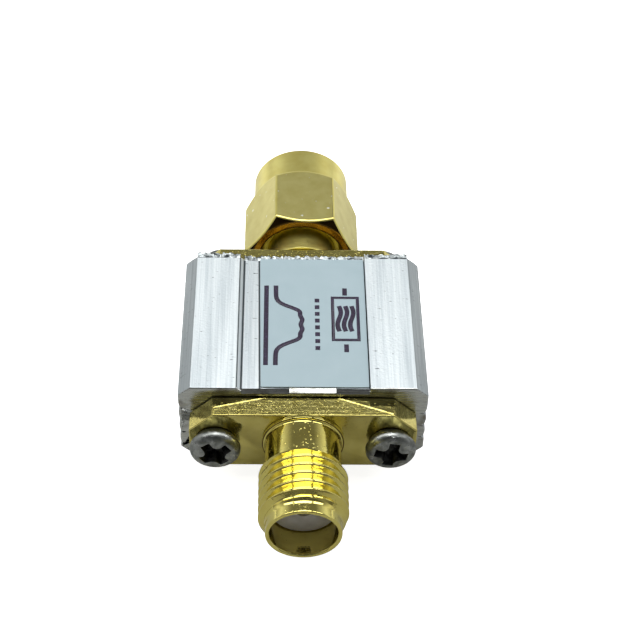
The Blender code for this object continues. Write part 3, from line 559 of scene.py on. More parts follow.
for side, ribs in ((1.0, RIGHT_RIBS), (-1.0, LEFT_RIBS)):
    modifier = shell.modifiers.new("ribs", "NODES")
    modifier.node_group = ribbed_wall
    lengths = {"Half width": HALF_WIDTH, "Pitch": RIB_PITCH, "Land": RIB_LAND, **ribs}
    values = {name: value * MM for name, value in lengths.items()}
    set_inputs(modifier, {**values, "Side": side, "Finish": aluminium})
settle(shell)


def is_end(face):
    return abs(face.normal.y) > FACING


break_edges(shell, BURR, 3, lambda edge: is_end(edge.link_faces[0]) != is_end(edge.link_faces[1]))
bed_floor = HALF_HEIGHT - BED_DEPTH
for low_x, high_x, filed_back, filed_turn in FILED_CUTS:
    filed_place = ((low_x + high_x) / 2, SHELL_LOW.y + filed_back, bed_floor)
    file_size = (high_x - low_x, 4 * filed_back, 2)
    cut(shell, piece_from("cut_filed", block(file_size, (0, 0, 1), [(filed_turn, "X")], filed_place)))
    settle(shell)
shell.data.materials.clear()
# Slot 2, the sides and bevels, is the darker copy of the aluminium: painted shade
for finish in (aluminium, sawn, shaded_side_aluminium):
    shell.data.materials.append(finish)
for face in shell.data.polygons:
    x, y, z = face.center / MM
    lean, rise = face.normal.y, face.normal.z
    is_bed = abs(x) < BED_HALF and z > bed_floor
    face.material_index = 1 if abs(lean) > FRONT_LEAN else 0 if abs(rise) > FACING or is_bed else 2
    is_filed = bed_floor - FILED_DEEPEST < z < bed_floor + WALL_SKIN and -FACING < lean < -FRONT_LEAN
    face.use_smooth = not is_filed
hand_over(shell, "filter", "sawn_aluminium", "shell")


# Saw burr: thin ragged lips that the saw pushed out over the rear edge of the top, never filed off;
# bright where it smeared the metal and dark where the metal tore
BURR_STEP = 0.13
BURR_ROOT = 0.16
BURR_SHORT = 0.16
BURR_LONG = 0.4
BURR_LIFT = 0.09
BURR_LIFT_LEAST = 0.01
BURR_EDGE = 0.03
BURR_RISE = 0.004
BURR_THICK = 0.08
smeared, tree, shader = new_material("smeared_aluminium_burr", "#E8EEEE", 1.0, 0.35)
torn_spots = noise(tree, mapped(tree, 0.5, 0.3, 0.3), 0.48, 0.62, 2.0)
tint(tree, shader, torn_spots, "#B4BBBC", "#3E4346")
worn(tree, shader, torn_spots, 0.35, 0.6)
relief(tree, shader, noise(tree, mapped(tree, 0.2), 0.3, 0.7, 2.0), 0.012)
ragged = random.Random(5)
flat_end = HALF_WIDTH - CORNER_WIDTH
bed_ends = (BED_LEFT_SLOPE - BED_HALF, BED_HALF - BED_RIGHT_SLOPE)
lips = ((-flat_end, -BED_HALF, HALF_HEIGHT), (*bed_ends, bed_floor), (BED_HALF, flat_end, HALF_HEIGHT))
bm = bmesh.new()
for low_x, high_x, level in lips:
    steps = round((high_x - low_x) / BURR_STEP)
    rows = []
    for i in range(steps + 1):
        x = low_x + (high_x - low_x) * i / steps
        tip_y = SHELL_HIGH.y + ragged.uniform(BURR_SHORT, BURR_LONG)
        tip_z = level + ragged.uniform(BURR_LIFT_LEAST, BURR_LIFT)
        spots = [(SHELL_HIGH.y - BURR_ROOT, level + BURR_RISE), (tip_y, tip_z), (tip_y, tip_z - BURR_EDGE)]
        spots.append((SHELL_HIGH.y - BURR_ROOT, level - BURR_THICK))
        rows.append([bm.verts.new((x * MM, y * MM, z * MM)) for y, z in spots])
    for near, far in zip(rows, rows[1:]):
        for i in range(4):
            bm.faces.new((near[i], near[i - 1], far[i - 1], far[i]))
    bm.faces.new(rows[0])
    bm.faces.new(reversed(rows[-1]))
bmesh.ops.recalc_face_normals(bm, faces=bm.faces)
saw_burr = piece_from("saw_burr", bm, smeared)
saw_burr.data.shade_flat()
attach(saw_burr, "filter")


# Circuit: a laminate board in the housing's slots with one ceramic filter package, its plated lid,
# four matching chips and two solder joints. The closed housing hides it, so the CAD nodes stay.
# Laminate: green mask, smooth and half gloss, over a woven glass that shows as a fine grid
laminate, tree, shader = new_material("solder_masked_laminate", "#1F5A34", 0.0, 0.35, IOR=1.55)
weave = noise(tree, mapped(tree, 0.4, 0.4, 2.0), 0.4, 0.6, 1.0)
tint(tree, shader, weave, "#1B5230", "#2A6B40")
relief(tree, shader, weave, 0.006)
# Ceramic: fired grains, dull, with faint cloudy colour
ceramic, tree, shader = new_material("fired_ceramic", "#C9BDA6", 0.0, 0.5, IOR=1.7)
grains = noise(tree, mapped(tree, 0.06))
tint(tree, shader, noise(tree, mapped(tree, 0.7)), "#CFC4AE", "#B9AC92")
relief(tree, shader, grains, 0.004)
# Tin: reflowed bright with frosty patches where it cooled slowly
tin, tree, shader = new_material("reflowed_tin", "#D5D6D4", 1.0, 0.28)
frost = noise(tree, mapped(tree, 0.3))
tint(tree, shader, frost, "#DCDDDB", "#B8BAB8")
worn(tree, shader, frost, 0.12, 0.45)
relief(tree, shader, frost, 0.005)
CIRCUIT = {"circuit_board": laminate, "filter_case": ceramic, "filter_lid": tin}
CIRCUIT.update(dict.fromkeys(("input_capacitor", "output_capacitor"), ceramic))
CIRCUIT.update(dict.fromkeys(("input_inductor", "output_inductor"), ceramic))
CIRCUIT.update(dict.fromkeys(("solder_front", "solder_rear"), tin))
for name, finish in CIRCUIT.items():
    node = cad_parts[name]
    node.data.materials.clear()
    node.data.materials.append(finish)


# Flanges: two stamped brass plates with cut top and bottom corners, tumbled and gold plated. The
# shear left a smooth band behind a bowed line along each long edge and a torn, grainy one in front.
FLANGE_LOW, FLANGE_HIGH = (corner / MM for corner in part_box("front_flange"))
FLANGE_CUT_WIDTH = 1.7
FLANGE_CUT_HEIGHT = 1.65
FLANGE_EDGE = 0.07
SHEAR_LEFT = (2.8, 0.9)
SHEAR_RIGHT = (2.5, 1.45)
SHEAR_TILT = math.radians(4)
FLANGE_BORE = 2.54
RIDGE_REACH = 0.1
RIDGE_HEIGHT = 0.04
EDGE_SKIN = 0.002
SMALL_FACE = 0.5
SHARP_EDGE = math.radians(40)


def gold(name, pale, deep, cloud, fine, low, high, depth):
    """Gold over nickel: plating in pale and deep clouds, with a fine grain of the brass under it."""
    finish, tree, shader = new_material(name, pale, 1.0, low)
    clouds = noise(tree, mapped(tree, cloud), 0.3, 0.7)
    grain = noise(tree, mapped(tree, fine), 0.34, 0.66, 2.0)
    specks = noise(tree, mapped(tree, 0.4), 0.84, 0.86, 1.0)
    plated = tint(tree, shader, clouds, pale, deep)
    tint(tree, shader, specks, plated, "#4A3010")
    worn(tree, shader, grain, low, high)
    return finish, tree, shader, relief(tree, shader, grain, depth), plated


# Stamped and tumbled: a faint orange peel with pits, and a rough torn grain on the sheared edges
gold_plate, tree, shader, under, _ = gold(
    "gold_plated_stamping", "#DBD080", "#C6B968", 1.6, 0.2, 0.08, 0.16, 0.002)
pits = noise(tree, mapped(tree, 0.14), 0.66, 0.78, 2.0)
relief(tree, shader, pits, -0.008, under)
torn, tree, shader, under, _ = gold(
    "gold_plated_torn_edge", "#DDD280", "#C2B664", 0.5, 0.12, 0.14, 0.22, 0.002)
tears = noise(tree, mapped(tree, 3.2, 0.12, 0.3), 0.4, 0.7, 2.0)
sparks = noise(tree, mapped(tree, 0.13), 0.66, 0.78, 1.0)
under = relief(tree, shader, sparks, 0.008, relief(tree, shader, tears, -0.0035, under))
# The smooth band's bowed border stands up as a fine ridge, at the same place on both flanges
place = object_place(tree)
middle = (SHELL_LOW.y + SHELL_HIGH.y) / 2
forward = abs(place[1] - middle * MM) - (middle - FLANGE_HIGH.y) * MM
ridges = []
for side, (inner, reach) in ((-1, SHEAR_LEFT), (1, SHEAR_RIGHT)):
    turn = math.atan2(reach, FLANGE_HIGH.x - FLANGE_CUT_WIDTH - inner)
    across = place[0].math("MULTIPLY_ADD", side, -inner * MM) * -math.sin(turn)
    from_line = abs(forward.math("MULTIPLY_ADD", math.cos(turn), across))
    ridges.append(ramp(tree, from_line, 0.0, RIDGE_REACH * MM, 1.0, 0.0))
relief(tree, shader, ridges[0].most(ridges[1]), RIDGE_HEIGHT, under)


def make_flange(name, node, back_y, face_y):
    """A flange from the housing's end, at back_y, out to face_y."""
    half_width, half_height = FLANGE_HIGH.x, FLANGE_HIGH.z
    side = [(half_width - FLANGE_CUT_WIDTH, half_height), (half_width, half_height - FLANGE_CUT_HEIGHT)]
    side += [(half_width, FLANGE_CUT_HEIGHT - half_height), (half_width - FLANGE_CUT_WIDTH, -half_height)]
    outline = side + [(-x, z) for x, z in reversed(side)]
    flange = piece_from(name, prism(outline, back_y, face_y), gold_plate)
    past = 1 if face_y > back_y else -1
    bores = ((0, FLANGE_BORE, 96), (-PORT_PLACE, PORT_RADIUS, 48), (PORT_PLACE, PORT_RADIUS, 48))
    for x, radius, points in bores:
        hole = prism(circle(x, 0, radius, points), back_y - past, face_y + past)
        cut(flange, piece_from("cut_hole", hole))
    settle(flange)
    break_edges(flange, FLANGE_EDGE, 3, lambda edge: edge.calc_face_angle(0) > SHARP_EDGE)
    for side, (inner, reach) in ((-1, SHEAR_LEFT), (1, SHEAR_RIGHT)):
        turn = math.atan2(reach, half_width - FLANGE_CUT_WIDTH - inner)
        turns = [(-SHEAR_TILT, "X"), (-side * turn, "Z")]
        shear = block((12, 8, 2), (0, 4, 1), turns, (side * inner, back_y, half_height), -past)
        cut(flange, piece_from("cut_shear", shear))
    settle(flange)
    flange.data.materials.append(torn)
    for face in flange.data.polygons:
        on_edge = abs(face.center.z) > (half_height - EDGE_SKIN) * MM and abs(face.normal.z) > 0.9999
        face.material_index = 1 if on_edge else 0
        face.use_smooth = face.area < SMALL_FACE * MM**2
    hand_over(flange, "filter", "gold_plated_brass", node)


REAR_LOW, REAR_HIGH = (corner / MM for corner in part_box("rear_flange"))
make_flange("flange_front", "front_flange", FLANGE_HIGH.y, FLANGE_LOW.y)
make_flange("flange_rear", "rear_flange", REAR_LOW.y, REAR_HIGH.y)


# Jack barrel: turned from brass bar in one piece with its collar, neck, 1/4-36 thread and nose, then
# nickel and gold plated bright. It is pressed into the flange by its spigot.
BARREL_LOW, _ = (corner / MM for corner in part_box("jack_barrel"))
JACK_TIP = BARREL_LOW.y
COLUMNS = 144
THREAD_PITCH = 25.4 / 36
THREAD_CREST = 3.12
THREAD_ROOT = 2.69
THREAD_ROWS = 20
THREAD_FLAT = 0.12
CREST_FROM = 0.5
FLANK_SOFT = 0.045
NOSE_RADIUS = 2.62
NOSE_LENGTH = 0.8
NOSE_TAPER = 0.23
THREAD_LENGTH = 4.19
RUN_IN_SLOPE = 1.16
RUN_OUT_SLOPE = 1.66
THREAD_PHASE = 0.49
FLANGE_FACE = FLANGE_LOW.y
SPIGOT_RADIUS = 2.5
COLLAR_RADIUS = 2.92
COLLAR_HEIGHT = 0.25
NECK_RADIUS = 2.68
NECK_FILLET = 0.18
SEAT_GAP = 0.04
RIM_BREAK = 0.1
MOUTH_CHAMFER = 0.1
MOUTH_RADIUS = 2.3
MOUTH_DEPTH = 1.95
LEDGE_BELOW_BUSH = 0.3
JACK_BUSH_RADIUS = 2.2
EASE = 0.05
EASE_SHARE = 0.3
EASE_GUARD = 1.5
NEARLY_STRAIGHT = math.radians(20)
COLLAR_SKIN = 0.05


def eased(profile, ease=EASE, closed=False):
    """Round the corners of a chain of (radius, y) points; a point at each side keeps the flats flat."""
    points = []
    last = len(profile) - 1
    for i, (radius, y) in enumerate(profile):
        here = Vector((radius, y))
        before = Vector(profile[i - 1]) - here
        after = Vector(profile[(i + 1) % len(profile)]) - here
        if radius == 0 or (not closed and i in (0, last)):
            points.append((radius, y))
            continue
        start_reach = min(ease, before.length * EASE_SHARE)
        end_reach = min(ease, after.length * EASE_SHARE)
        start = here + before.normalized() * start_reach
        end = here + after.normalized() * end_reach
        steps = 1 if before.angle(-after, 0) < NEARLY_STRAIGHT else 4
        spots = [here + before.normalized() * start_reach * EASE_GUARD]
        for step in range(steps + 1):
            t = step / steps
            spots.append(start * (1 - t) ** 2 + here * 2 * t * (1 - t) + end * t**2)
        spots.append(here + after.normalized() * end_reach * EASE_GUARD)
        points += [(spot.x, spot.y) for spot in spots]
    return points


def lathe(bm, profile, columns=COLUMNS, closed=False):
    """Turn a chain of (radius, y) points, in millimetres, about the coax axis."""
    rings = []
    for radius, y in profile:
        spots = [(0.0, 0.0)] if radius == 0 else circle(0, 0, radius, columns)
        rings.append([bm.verts.new((x * MM, y * MM, z * MM)) for x, z in spots])
    pairs = list(zip(rings, rings[1:]))
    if closed:
        pairs.append((rings[-1], rings[0]))
    for one, two in pairs:
        for i in range(columns):
            j = (i + 1) % columns
            corners = [one[i % len(one)], one[j % len(one)], two[j % len(two)], two[i % len(two)]]
            corners = list(dict.fromkeys(corners))
            if len(corners) > 2:
                bm.faces.new(corners)
    return bm


# The thread tree lays a grid in a helix round the coax axis: one side of the grid runs along the
# turns, each row keeps one place in the thread's profile, and rows past the ends are held there.
THREAD_INPUTS = {"Start": 0.0, "End": 0.0, "Pitch": 0.0, "Root": 0.0, "Crest": 0.0, "Start radius": 0.0}
THREAD_INPUTS.update({"End radius": 0.0, "Run in slope": 1.0, "Run out slope": 1.0, "Phase": 0.0})
THREAD_INPUTS.update({"Inside": 0.0, "Columns": 96, "Rows a turn": 20, "Finish": None})
tree, given = new_tree("thread", THREAD_INPUTS)
turns = (given["End"] - given["Start"]) / given["Pitch"] + 1.0
rows = (turns * given["Rows a turn"]).math("CEIL")
grid_size = {"Size X": 1.0, "Size Y": 1.0, "Vertices X": rows + 1.0, "Vertices Y": given["Columns"] + 1.0}
grid = add(tree, "GeometryNodeMeshGrid", grid_size).outputs[0]
row_place, column_place, _ = split_up(tree, add(tree, "GeometryNodeInputPosition").outputs[0])
turned_by = ((row_place + 0.5) * rows).math("ROUND") / given["Rows a turn"]
around = column_place + 0.5
free = given["Start"] + (turned_by + around - 1.0) * given["Pitch"]
held = free.most(given["Start"]).least(given["End"])
phase = (turned_by + given["Phase"]).math("FRACT")
curve = add(tree, "ShaderNodeFloatCurve", {"Value": phase})
crest_to = CREST_FROM + THREAD_FLAT
# Heights across one pitch: root, flank, worn crest, flank
flank = ((0.0, 0.0), (THREAD_FLAT, 0.0), (THREAD_FLAT + FLANK_SOFT, 0.06))
flank += ((CREST_FROM - FLANK_SOFT, 0.94), (CREST_FROM, 1.0), (crest_to, 1.0))
flank += ((crest_to + FLANK_SOFT, 0.94), (1.0 - FLANK_SOFT, 0.06), (1.0, 0.0))
line = curve.mapping.curves[0]
for number, (along, height) in enumerate(flank):
    if number in (0, len(flank) - 1):
        line.points[min(number, 1)].location = (along, height)
for along, height in flank[1:-1]:
    line.points.new(along, height)
for point in line.points:
    point.handle_type = "VECTOR"
curve.mapping.update()
rise = Number(tree, curve.outputs[0]) * (given["Crest"] - given["Root"])
sign = 1.0 - given["Inside"] * 2.0
start_limit = given["Start radius"] * sign + (held - given["Start"]) * given["Run in slope"]
end_limit = given["End radius"] * sign + (given["End"] - held) * given["Run out slope"]
radius = ((given["Root"] + rise) * sign).least(start_limit).least(end_limit) * sign
angle = around * (-2 * math.pi)
across, above = radius * angle.math("COSINE"), radius * angle.math("SINE")
spot = add(tree, "ShaderNodeCombineXYZ", {0: across, 1: held, 2: above}).outputs[0]
moved = add(tree, "GeometryNodeSetPosition", {"Geometry": grid, "Position": spot}).outputs[0]
welded = add(tree, "GeometryNodeMergeByDistance", {"Geometry": moved, "Distance": 0.001 * MM}).outputs[0]
end_tree(tree, welded, given["Finish"])
thread = tree


def add_thread(bm, finish, sizes, slopes=(1.0, 1.0), phase=0.0, inside=0.0, counts=(COLUMNS, THREAD_ROWS)):
    """Add a helical thread sleeve to a bmesh. Sizes in millimetres: where it starts and ends, pitch, root,
    crest and the radius at each end; slopes are those of its two run-outs, counts its points a turn."""
    names = ("Start", "End", "Pitch", "Root", "Crest", "Start radius", "End radius")
    values = {name: size * MM for name, size in zip(names, sizes)}
    values.update(zip(("Run in slope", "Run out slope", "Columns", "Rows a turn"), (*slopes, *counts)))
    seed = new_object("thread_seed", bpy.data.meshes.new("thread_seed"))
    modifier = seed.modifiers.new("thread", "NODES")
    modifier.node_group = thread
    set_inputs(modifier, {**values, "Phase": phase, "Inside": inside, "Finish": finish})
    settle(seed)
    bm.from_mesh(seed.data)
    bpy.data.meshes.remove(seed.data)


# Turned: mirror bright, with the tool's fine rings along the axis and small plating blisters
bright_gold, tree, shader, under, _ = gold(
    "gold_over_nickel_turned", "#E9DE82", "#DFD072", 1.2, 0.2, 0.06, 0.13, 0.0015)
rings = noise(tree, mapped(tree, 40.0, 0.07, 40.0), 0.3, 0.7, 2.0)
blisters = noise(tree, mapped(tree, 0.2), 0.7, 0.78, 1.0)
relief(tree, shader, rings, 0.001, relief(tree, shader, blisters, 0.01, under))


def neck(back_y, face_y, outward):
    """Spigot, collar and the small fillet up to the neck, the same on both connectors."""
    seat = face_y + outward * SEAT_GAP
    front = seat + outward * COLLAR_HEIGHT
    chain = [(SPIGOT_RADIUS, back_y), (SPIGOT_RADIUS, seat), (COLLAR_RADIUS, seat), (COLLAR_RADIUS, front)]
    for i in range(7):
        bend = math.radians(90) * i / 6
        radius = NECK_RADIUS + NECK_FILLET * (1 - math.sin(bend))
        chain.append((radius, front + outward * NECK_FILLET * (1 - math.cos(bend))))
    return chain


thread_start = JACK_TIP + NOSE_LENGTH + NOSE_TAPER
thread_end = thread_start + THREAD_LENGTH
outside = neck(FLANGE_HIGH.y, FLANGE_FACE, -1) + [(NECK_RADIUS, thread_end)]
inside = [(THREAD_ROOT, thread_start), (NOSE_RADIUS, JACK_TIP + NOSE_LENGTH)]
inside += [(NOSE_RADIUS, JACK_TIP + RIM_BREAK)]
inside += [(NOSE_RADIUS - RIM_BREAK * 0.3, JACK_TIP + RIM_BREAK * 0.3), (NOSE_RADIUS - RIM_BREAK, JACK_TIP)]
inside += [(MOUTH_RADIUS + MOUTH_CHAMFER, JACK_TIP)]
ledge = JACK_TIP + MOUTH_DEPTH + LEDGE_BELOW_BUSH
inside += [(MOUTH_RADIUS, JACK_TIP + MOUTH_CHAMFER), (MOUTH_RADIUS, ledge)]
inside += [(JACK_BUSH_RADIUS + SEAT_GAP, ledge), (JACK_BUSH_RADIUS + SEAT_GAP, FLANGE_HIGH.y)]
inside += [(SPIGOT_RADIUS, FLANGE_HIGH.y)]
bm = lathe(bmesh.new(), eased(outside, 0.03))
lathe(bm, eased(inside))
sizes = (thread_start, thread_end, THREAD_PITCH, THREAD_ROOT, THREAD_CREST, THREAD_ROOT, NECK_RADIUS)
add_thread(bm, bright_gold, sizes, (RUN_IN_SLOPE, RUN_OUT_SLOPE), THREAD_PHASE)
barrel = piece_from("jack_body", bm, bright_gold)
# Collar's face: painted shade, a dark gold in the corner behind the thread
shaded_collar_gold, *_ = gold(
    "gold_painted_shade_in_corner", "#6A5826", "#4A3A16", 0.8, 0.1, 0.1, 0.2, 0.001)
barrel.data.materials.append(shaded_collar_gold)
collar_face = FLANGE_FACE - SEAT_GAP - COLLAR_HEIGHT
for face in barrel.data.polygons:
    x, y, z = face.center / MM
    on_face = face.normal.y < -FACING and collar_face - COLLAR_SKIN < y < FLANGE_FACE
    face.material_index = 1 if on_face and math.hypot(x, z) > NECK_RADIUS + 3 * COLLAR_SKIN else 0
hand_over(barrel, "filter", "gold_plated_brass", "jack_barrel")


# Jack's inner parts: a white fluoropolymer bush turned from rod, pressed in flush with the bottom of
# the mouth, and a slotted female contact of plated spring bronze in its bore.
SOCKET_RADIUS = 0.635
SOCKET_BORE = 0.47
SOCKET_BORE_DEPTH = 2.8
SOCKET_SLOT = 0.18
SOCKET_SLOT_DEPTH = 2.0
SOCKET_RECESS = 0.05
TAIL_RADIUS = 0.45
TAIL_LENGTH = 2.0
PLUG_BUSH_RADIUS = 2.05
ENTRY_RADIUS = 0.5
ENTRY_LIP = 0.3
# Fluoropolymer: waxy white, cloudy just under the surface, with soft turning marks
fluoropolymer, tree, shader = new_material("turned_fluoropolymer", "#D9D6D4", 0.0, 0.45, IOR=1.36)
waxy = noise(tree, mapped(tree, 1.4))
tint(tree, shader, waxy, "#DEDBD8", "#CBC6C2")
worn(tree, shader, waxy, 0.38, 0.5)
relief(tree, shader, noise(tree, mapped(tree, 0.25)), 0.006)


def turned_piece(name, node, body, slot, finish, chain, ease=EASE):
    """A piece of revolution that takes the place of its CAD node."""
    closed = chain[0][0] > 0
    bm = lathe(bmesh.new(), eased(chain, ease, closed), COLUMNS, closed)
    hand_over(piece_from(name, bm, finish), body, slot, node)


hole = SOCKET_RADIUS + SEAT_GAP
bush_face = JACK_TIP + MOUTH_DEPTH
lip_back = bush_face + ENTRY_LIP
chain = [(ENTRY_RADIUS, bush_face), (JACK_BUSH_RADIUS, bush_face), (JACK_BUSH_RADIUS, FLANGE_HIGH.y)]
chain += [(hole, FLANGE_HIGH.y), (hole, lip_back), (ENTRY_RADIUS, lip_back)]
turned_piece("jack_bush", "jack_insulator", "filter", "insulator", fluoropolymer, chain, 0.03)
front = lip_back + SEAT_GAP
chain = [(0, front + SOCKET_BORE_DEPTH + SOCKET_BORE / 2), (SOCKET_BORE, front + SOCKET_BORE_DEPTH)]
chain += [(SOCKET_BORE, front), (SOCKET_RADIUS, front), (SOCKET_RADIUS, FLANGE_HIGH.y)]
chain += [(TAIL_RADIUS, FLANGE_HIGH.y), (TAIL_RADIUS, FLANGE_HIGH.y + TAIL_LENGTH)]
chain += [(0, FLANGE_HIGH.y + TAIL_LENGTH)]
bm = lathe(bmesh.new(), eased(chain, 0.04), 48)
contact = piece_from("jack_socket", bm, bright_gold)
half_slot = SOCKET_SLOT / 2
for long_way, short_way in ((1, half_slot), (half_slot, 1)):
    bar = [(-long_way, -short_way), (long_way, -short_way), (long_way, short_way), (-long_way, short_way)]
    cut(contact, piece_from("cut_slot", prism(bar, front - 1, front + SOCKET_SLOT_DEPTH)))
settle(contact)
contact.data.set_sharp_from_angle(angle=SMOOTH_BELOW)
hand_over(contact, "filter", "gold_plated_brass", "jack_contact")


# Plug body: turned like the jack's, with a shoulder that carries the coupling nut and a thin contact
# sleeve; with it go its bush, its pointed pin, the nut's spring ring and the sealing ring.
REAR_FACE = REAR_HIGH.y
REAR_BACK = REAR_LOW.y
NUT_LOW, NUT_HIGH = (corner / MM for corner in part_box("coupling_nut"))
NUT_NEAR = NUT_LOW.y
NUT_END = NUT_HIGH.y
SHOULDER_START = NUT_NEAR + 0.9
SHOULDER_END = SHOULDER_START + 2.15
SHOULDER_RADIUS = 3.22
SHOULDER_CHAMFER = 0.2
RING_START = NUT_NEAR + 1.55
RING_THICKNESS = 0.42
RING_BODY_GRIP = 0.4
RING_NUT_GRIP = 0.32
RING_MOUTH = math.radians(34)
RUNNING_GAP = 0.08
SLEEVE_RADIUS = 2.28
SLEEVE_END = SHOULDER_END + 2.9
PIN_RADIUS = 0.46
PIN_REACH = 2.0
PIN_POINT = 0.5
GASKET_THICKNESS = 0.7
NUT_BORE = 3.3
THREAD_DEPTH = 0.43
bore = PLUG_BUSH_RADIUS + SEAT_GAP
groove = SHOULDER_RADIUS - RING_BODY_GRIP
groove_start = RING_START - SEAT_GAP
groove_end = RING_START + RING_THICKNESS + SEAT_GAP
# Satin: fine rings from the lathe, tumbled half matte before the plating
satin_gold, tree, shader, under, _ = gold(
    "gold_plated_satin_turning", "#EFE58C", "#E2D478", 1.2, 0.15, 0.28, 0.32, 0.001)
relief(tree, shader, noise(tree, mapped(tree, 40.0, 0.09, 40.0), 0.3, 0.7, 2.0), 0.002, under)
chain = neck(REAR_BACK, REAR_FACE, 1)
chain += [(NECK_RADIUS, SHOULDER_START), (SHOULDER_RADIUS - SHOULDER_CHAMFER, SHOULDER_START)]
chain += [(SHOULDER_RADIUS, SHOULDER_START + SHOULDER_CHAMFER), (SHOULDER_RADIUS, groove_start)]
chain += [(groove, groove_start), (groove, groove_end), (SHOULDER_RADIUS, groove_end)]
chain += [(SHOULDER_RADIUS, SHOULDER_END), (SLEEVE_RADIUS, SHOULDER_END), (SLEEVE_RADIUS, SLEEVE_END)]
chain += [(bore, SLEEVE_END), (bore, REAR_BACK)]
turned_piece("plug_shell", "plug_body", "filter", "gold_plated_brass", satin_gold, chain)
chain = [(hole, SLEEVE_END), (PLUG_BUSH_RADIUS, SLEEVE_END)]
chain += [(PLUG_BUSH_RADIUS, REAR_BACK), (hole, REAR_BACK)]
turned_piece("plug_bush", "plug_insulator", "filter", "insulator", fluoropolymer, chain, 0.03)
chain = [(0, REAR_BACK - TAIL_LENGTH), (TAIL_RADIUS, REAR_BACK - TAIL_LENGTH), (TAIL_RADIUS, REAR_BACK)]
chain += [(SOCKET_RADIUS, REAR_BACK), (SOCKET_RADIUS, SLEEVE_END - SOCKET_RECESS)]
pin_end = SLEEVE_END + PIN_REACH
chain += [(PIN_RADIUS, SLEEVE_END - SOCKET_RECESS), (PIN_RADIUS, pin_end - PIN_POINT)]
chain += [(PIN_RADIUS * 0.8, pin_end - PIN_POINT / 2), (PIN_RADIUS * 0.4, pin_end), (0, pin_end)]
turned_piece("plug_centre_pin", "plug_pin", "filter", "gold_plated_brass", bright_gold, chain)

# Spring bronze: drawn flat wire, satin, a little toasted by its heat treatment
spring_bronze, tree, shader = new_material("drawn_spring_bronze", "#C79A5A", 1.0, 0.3)
toasted = noise(tree, mapped(tree, 0.8))
tint(tree, shader, toasted, "#CDA263", "#A87A42")
worn(tree, shader, toasted, 0.24, 0.4)
relief(tree, shader, noise(tree, mapped(tree, 3.0, 0.05, 3.0)), 0.002)
inner = groove + SEAT_GAP
outer = NUT_BORE + RING_NUT_GRIP
bm = bmesh.new()
steps = 96
sections = []
for i in range(steps + 1):
    angle = (2 * math.pi - RING_MOUTH) * i / steps
    corners = ((inner, RING_START), (outer, RING_START))
    corners += ((outer, RING_START + RING_THICKNESS), (inner, RING_START + RING_THICKNESS))
    spots = eased(corners, 0.05, True)
    across, above = math.cos(angle), -math.sin(angle)
    sections.append([bm.verts.new((r * across * MM, y * MM, r * above * MM)) for r, y in spots])
for one, two in zip(sections, sections[1:]):
    for i in range(len(one)):
        j = (i + 1) % len(one)
        bm.faces.new((one[i], one[j], two[j], two[i]))
bm.faces.new(sections[0])
bm.faces.new(sections[-1])
ring = piece_from("nut_spring_ring", bm, spring_bronze)
hand_over(ring, "filter", "spring_bronze", "retaining_ring")

# Silicone: moulded soft and dull, with a dusting of talc
silicone, tree, shader = new_material("moulded_silicone", "#A83A2C", 0.0, 0.55, IOR=1.41)
talc = noise(tree, mapped(tree, 0.3), 0.45, 0.75)
tint(tree, shader, talc, "#A83A2C", "#B75A4C")
worn(tree, shader, talc, 0.5, 0.7)
relief(tree, shader, talc, 0.003)
gasket_start = SHOULDER_END + SEAT_GAP
inner = SLEEVE_RADIUS + SEAT_GAP
outer = THREAD_CREST - THREAD_DEPTH / 2 - RUNNING_GAP
gasket_end = gasket_start + GASKET_THICKNESS
chain = [(inner, gasket_start), (outer, gasket_start), (outer, gasket_end), (inner, gasket_end)]
turned_piece("sealing_ring", "plug_gasket", "filter", "silicone", silicone, chain, 0.15)


# Coupling nut: turned from hexagon bar, its corners chamfered on both faces, the far part turned
# down round, tapped 1/4-36 inside and gold plated. The spring ring holds it, free to turn.
ACROSS_FLATS = 7.94
NUT_TURN = math.radians(3.15)
HEX_LENGTH = 6.15
FACE_RADIUS = 3.85
CHAMFER_SLOPE = 0.74
FAR_CHAMFER_SLOPE = 1.05
ROUND_RADIUS = 3.82
ROUND_BREAK = 0.12
COUNTERBORE = 3.45
SHADE_RING = 3.66
THREAD_PLAY = 0.07
MOUTH_PLAY = 0.05
NUT_THREAD_PHASE = 0.5
FLAT_ROUNDING = 0.13
FLAT_SKIN = 0.01
FLAT_LEAST_AREA = 1.0
FACING_REACH = 0.6
FACING_LEAN = 0.75
corner_radius = ACROSS_FLATS / math.sqrt(3)
blank_radius = corner_radius * 1.04
chamfer = (blank_radius - FACE_RADIUS) * CHAMFER_SLOPE
far_chamfer = (blank_radius - FACE_RADIUS) * FAR_CHAMFER_SLOPE
hex_end = NUT_NEAR + HEX_LENGTH
ring_groove = NUT_BORE + RING_NUT_GRIP + RUNNING_GAP
groove_start = RING_START - RUNNING_GAP
groove_end = RING_START + RING_THICKNESS + RUNNING_GAP
tapped_from = NUT_NEAR + COUNTERBORE
minor = THREAD_CREST - THREAD_DEPTH + THREAD_PLAY
major = THREAD_CREST + THREAD_PLAY
mouth = major + MOUTH_PLAY
# Flats left as drawn and tumbled matte, with small dents; their near-white tint is a painted glint
milled_gold, tree, shader, under, plated = gold(
    "gold_plated_drawn_flats", "#DFD68A", "#D3C87A", 1.0, 0.12, 0.3, 0.33, 0.001)
nicks_and_painted_light = noise(tree, mapped(tree, 0.34), 0.73, 0.77, 1.0)
# Painted glint: the dents tinted near white
tint(tree, shader, nicks_and_painted_light, plated, "#FFFFF2")
relief(tree, shader, nicks_and_painted_light, 0.008, under)
chain = [(mouth, tapped_from), (NUT_BORE, tapped_from), (NUT_BORE, groove_end), (ring_groove, groove_end)]
chain += [(ring_groove, groove_start), (NUT_BORE, groove_start), (NUT_BORE, NUT_NEAR)]
chain += [(FACE_RADIUS, NUT_NEAR), (blank_radius, NUT_NEAR + chamfer), (blank_radius, hex_end - far_chamfer)]
chain += [(FACE_RADIUS, hex_end), (ROUND_RADIUS, hex_end), (ROUND_RADIUS, NUT_END - ROUND_BREAK)]
chain += [(ROUND_RADIUS - ROUND_BREAK, NUT_END), (mouth, NUT_END)]
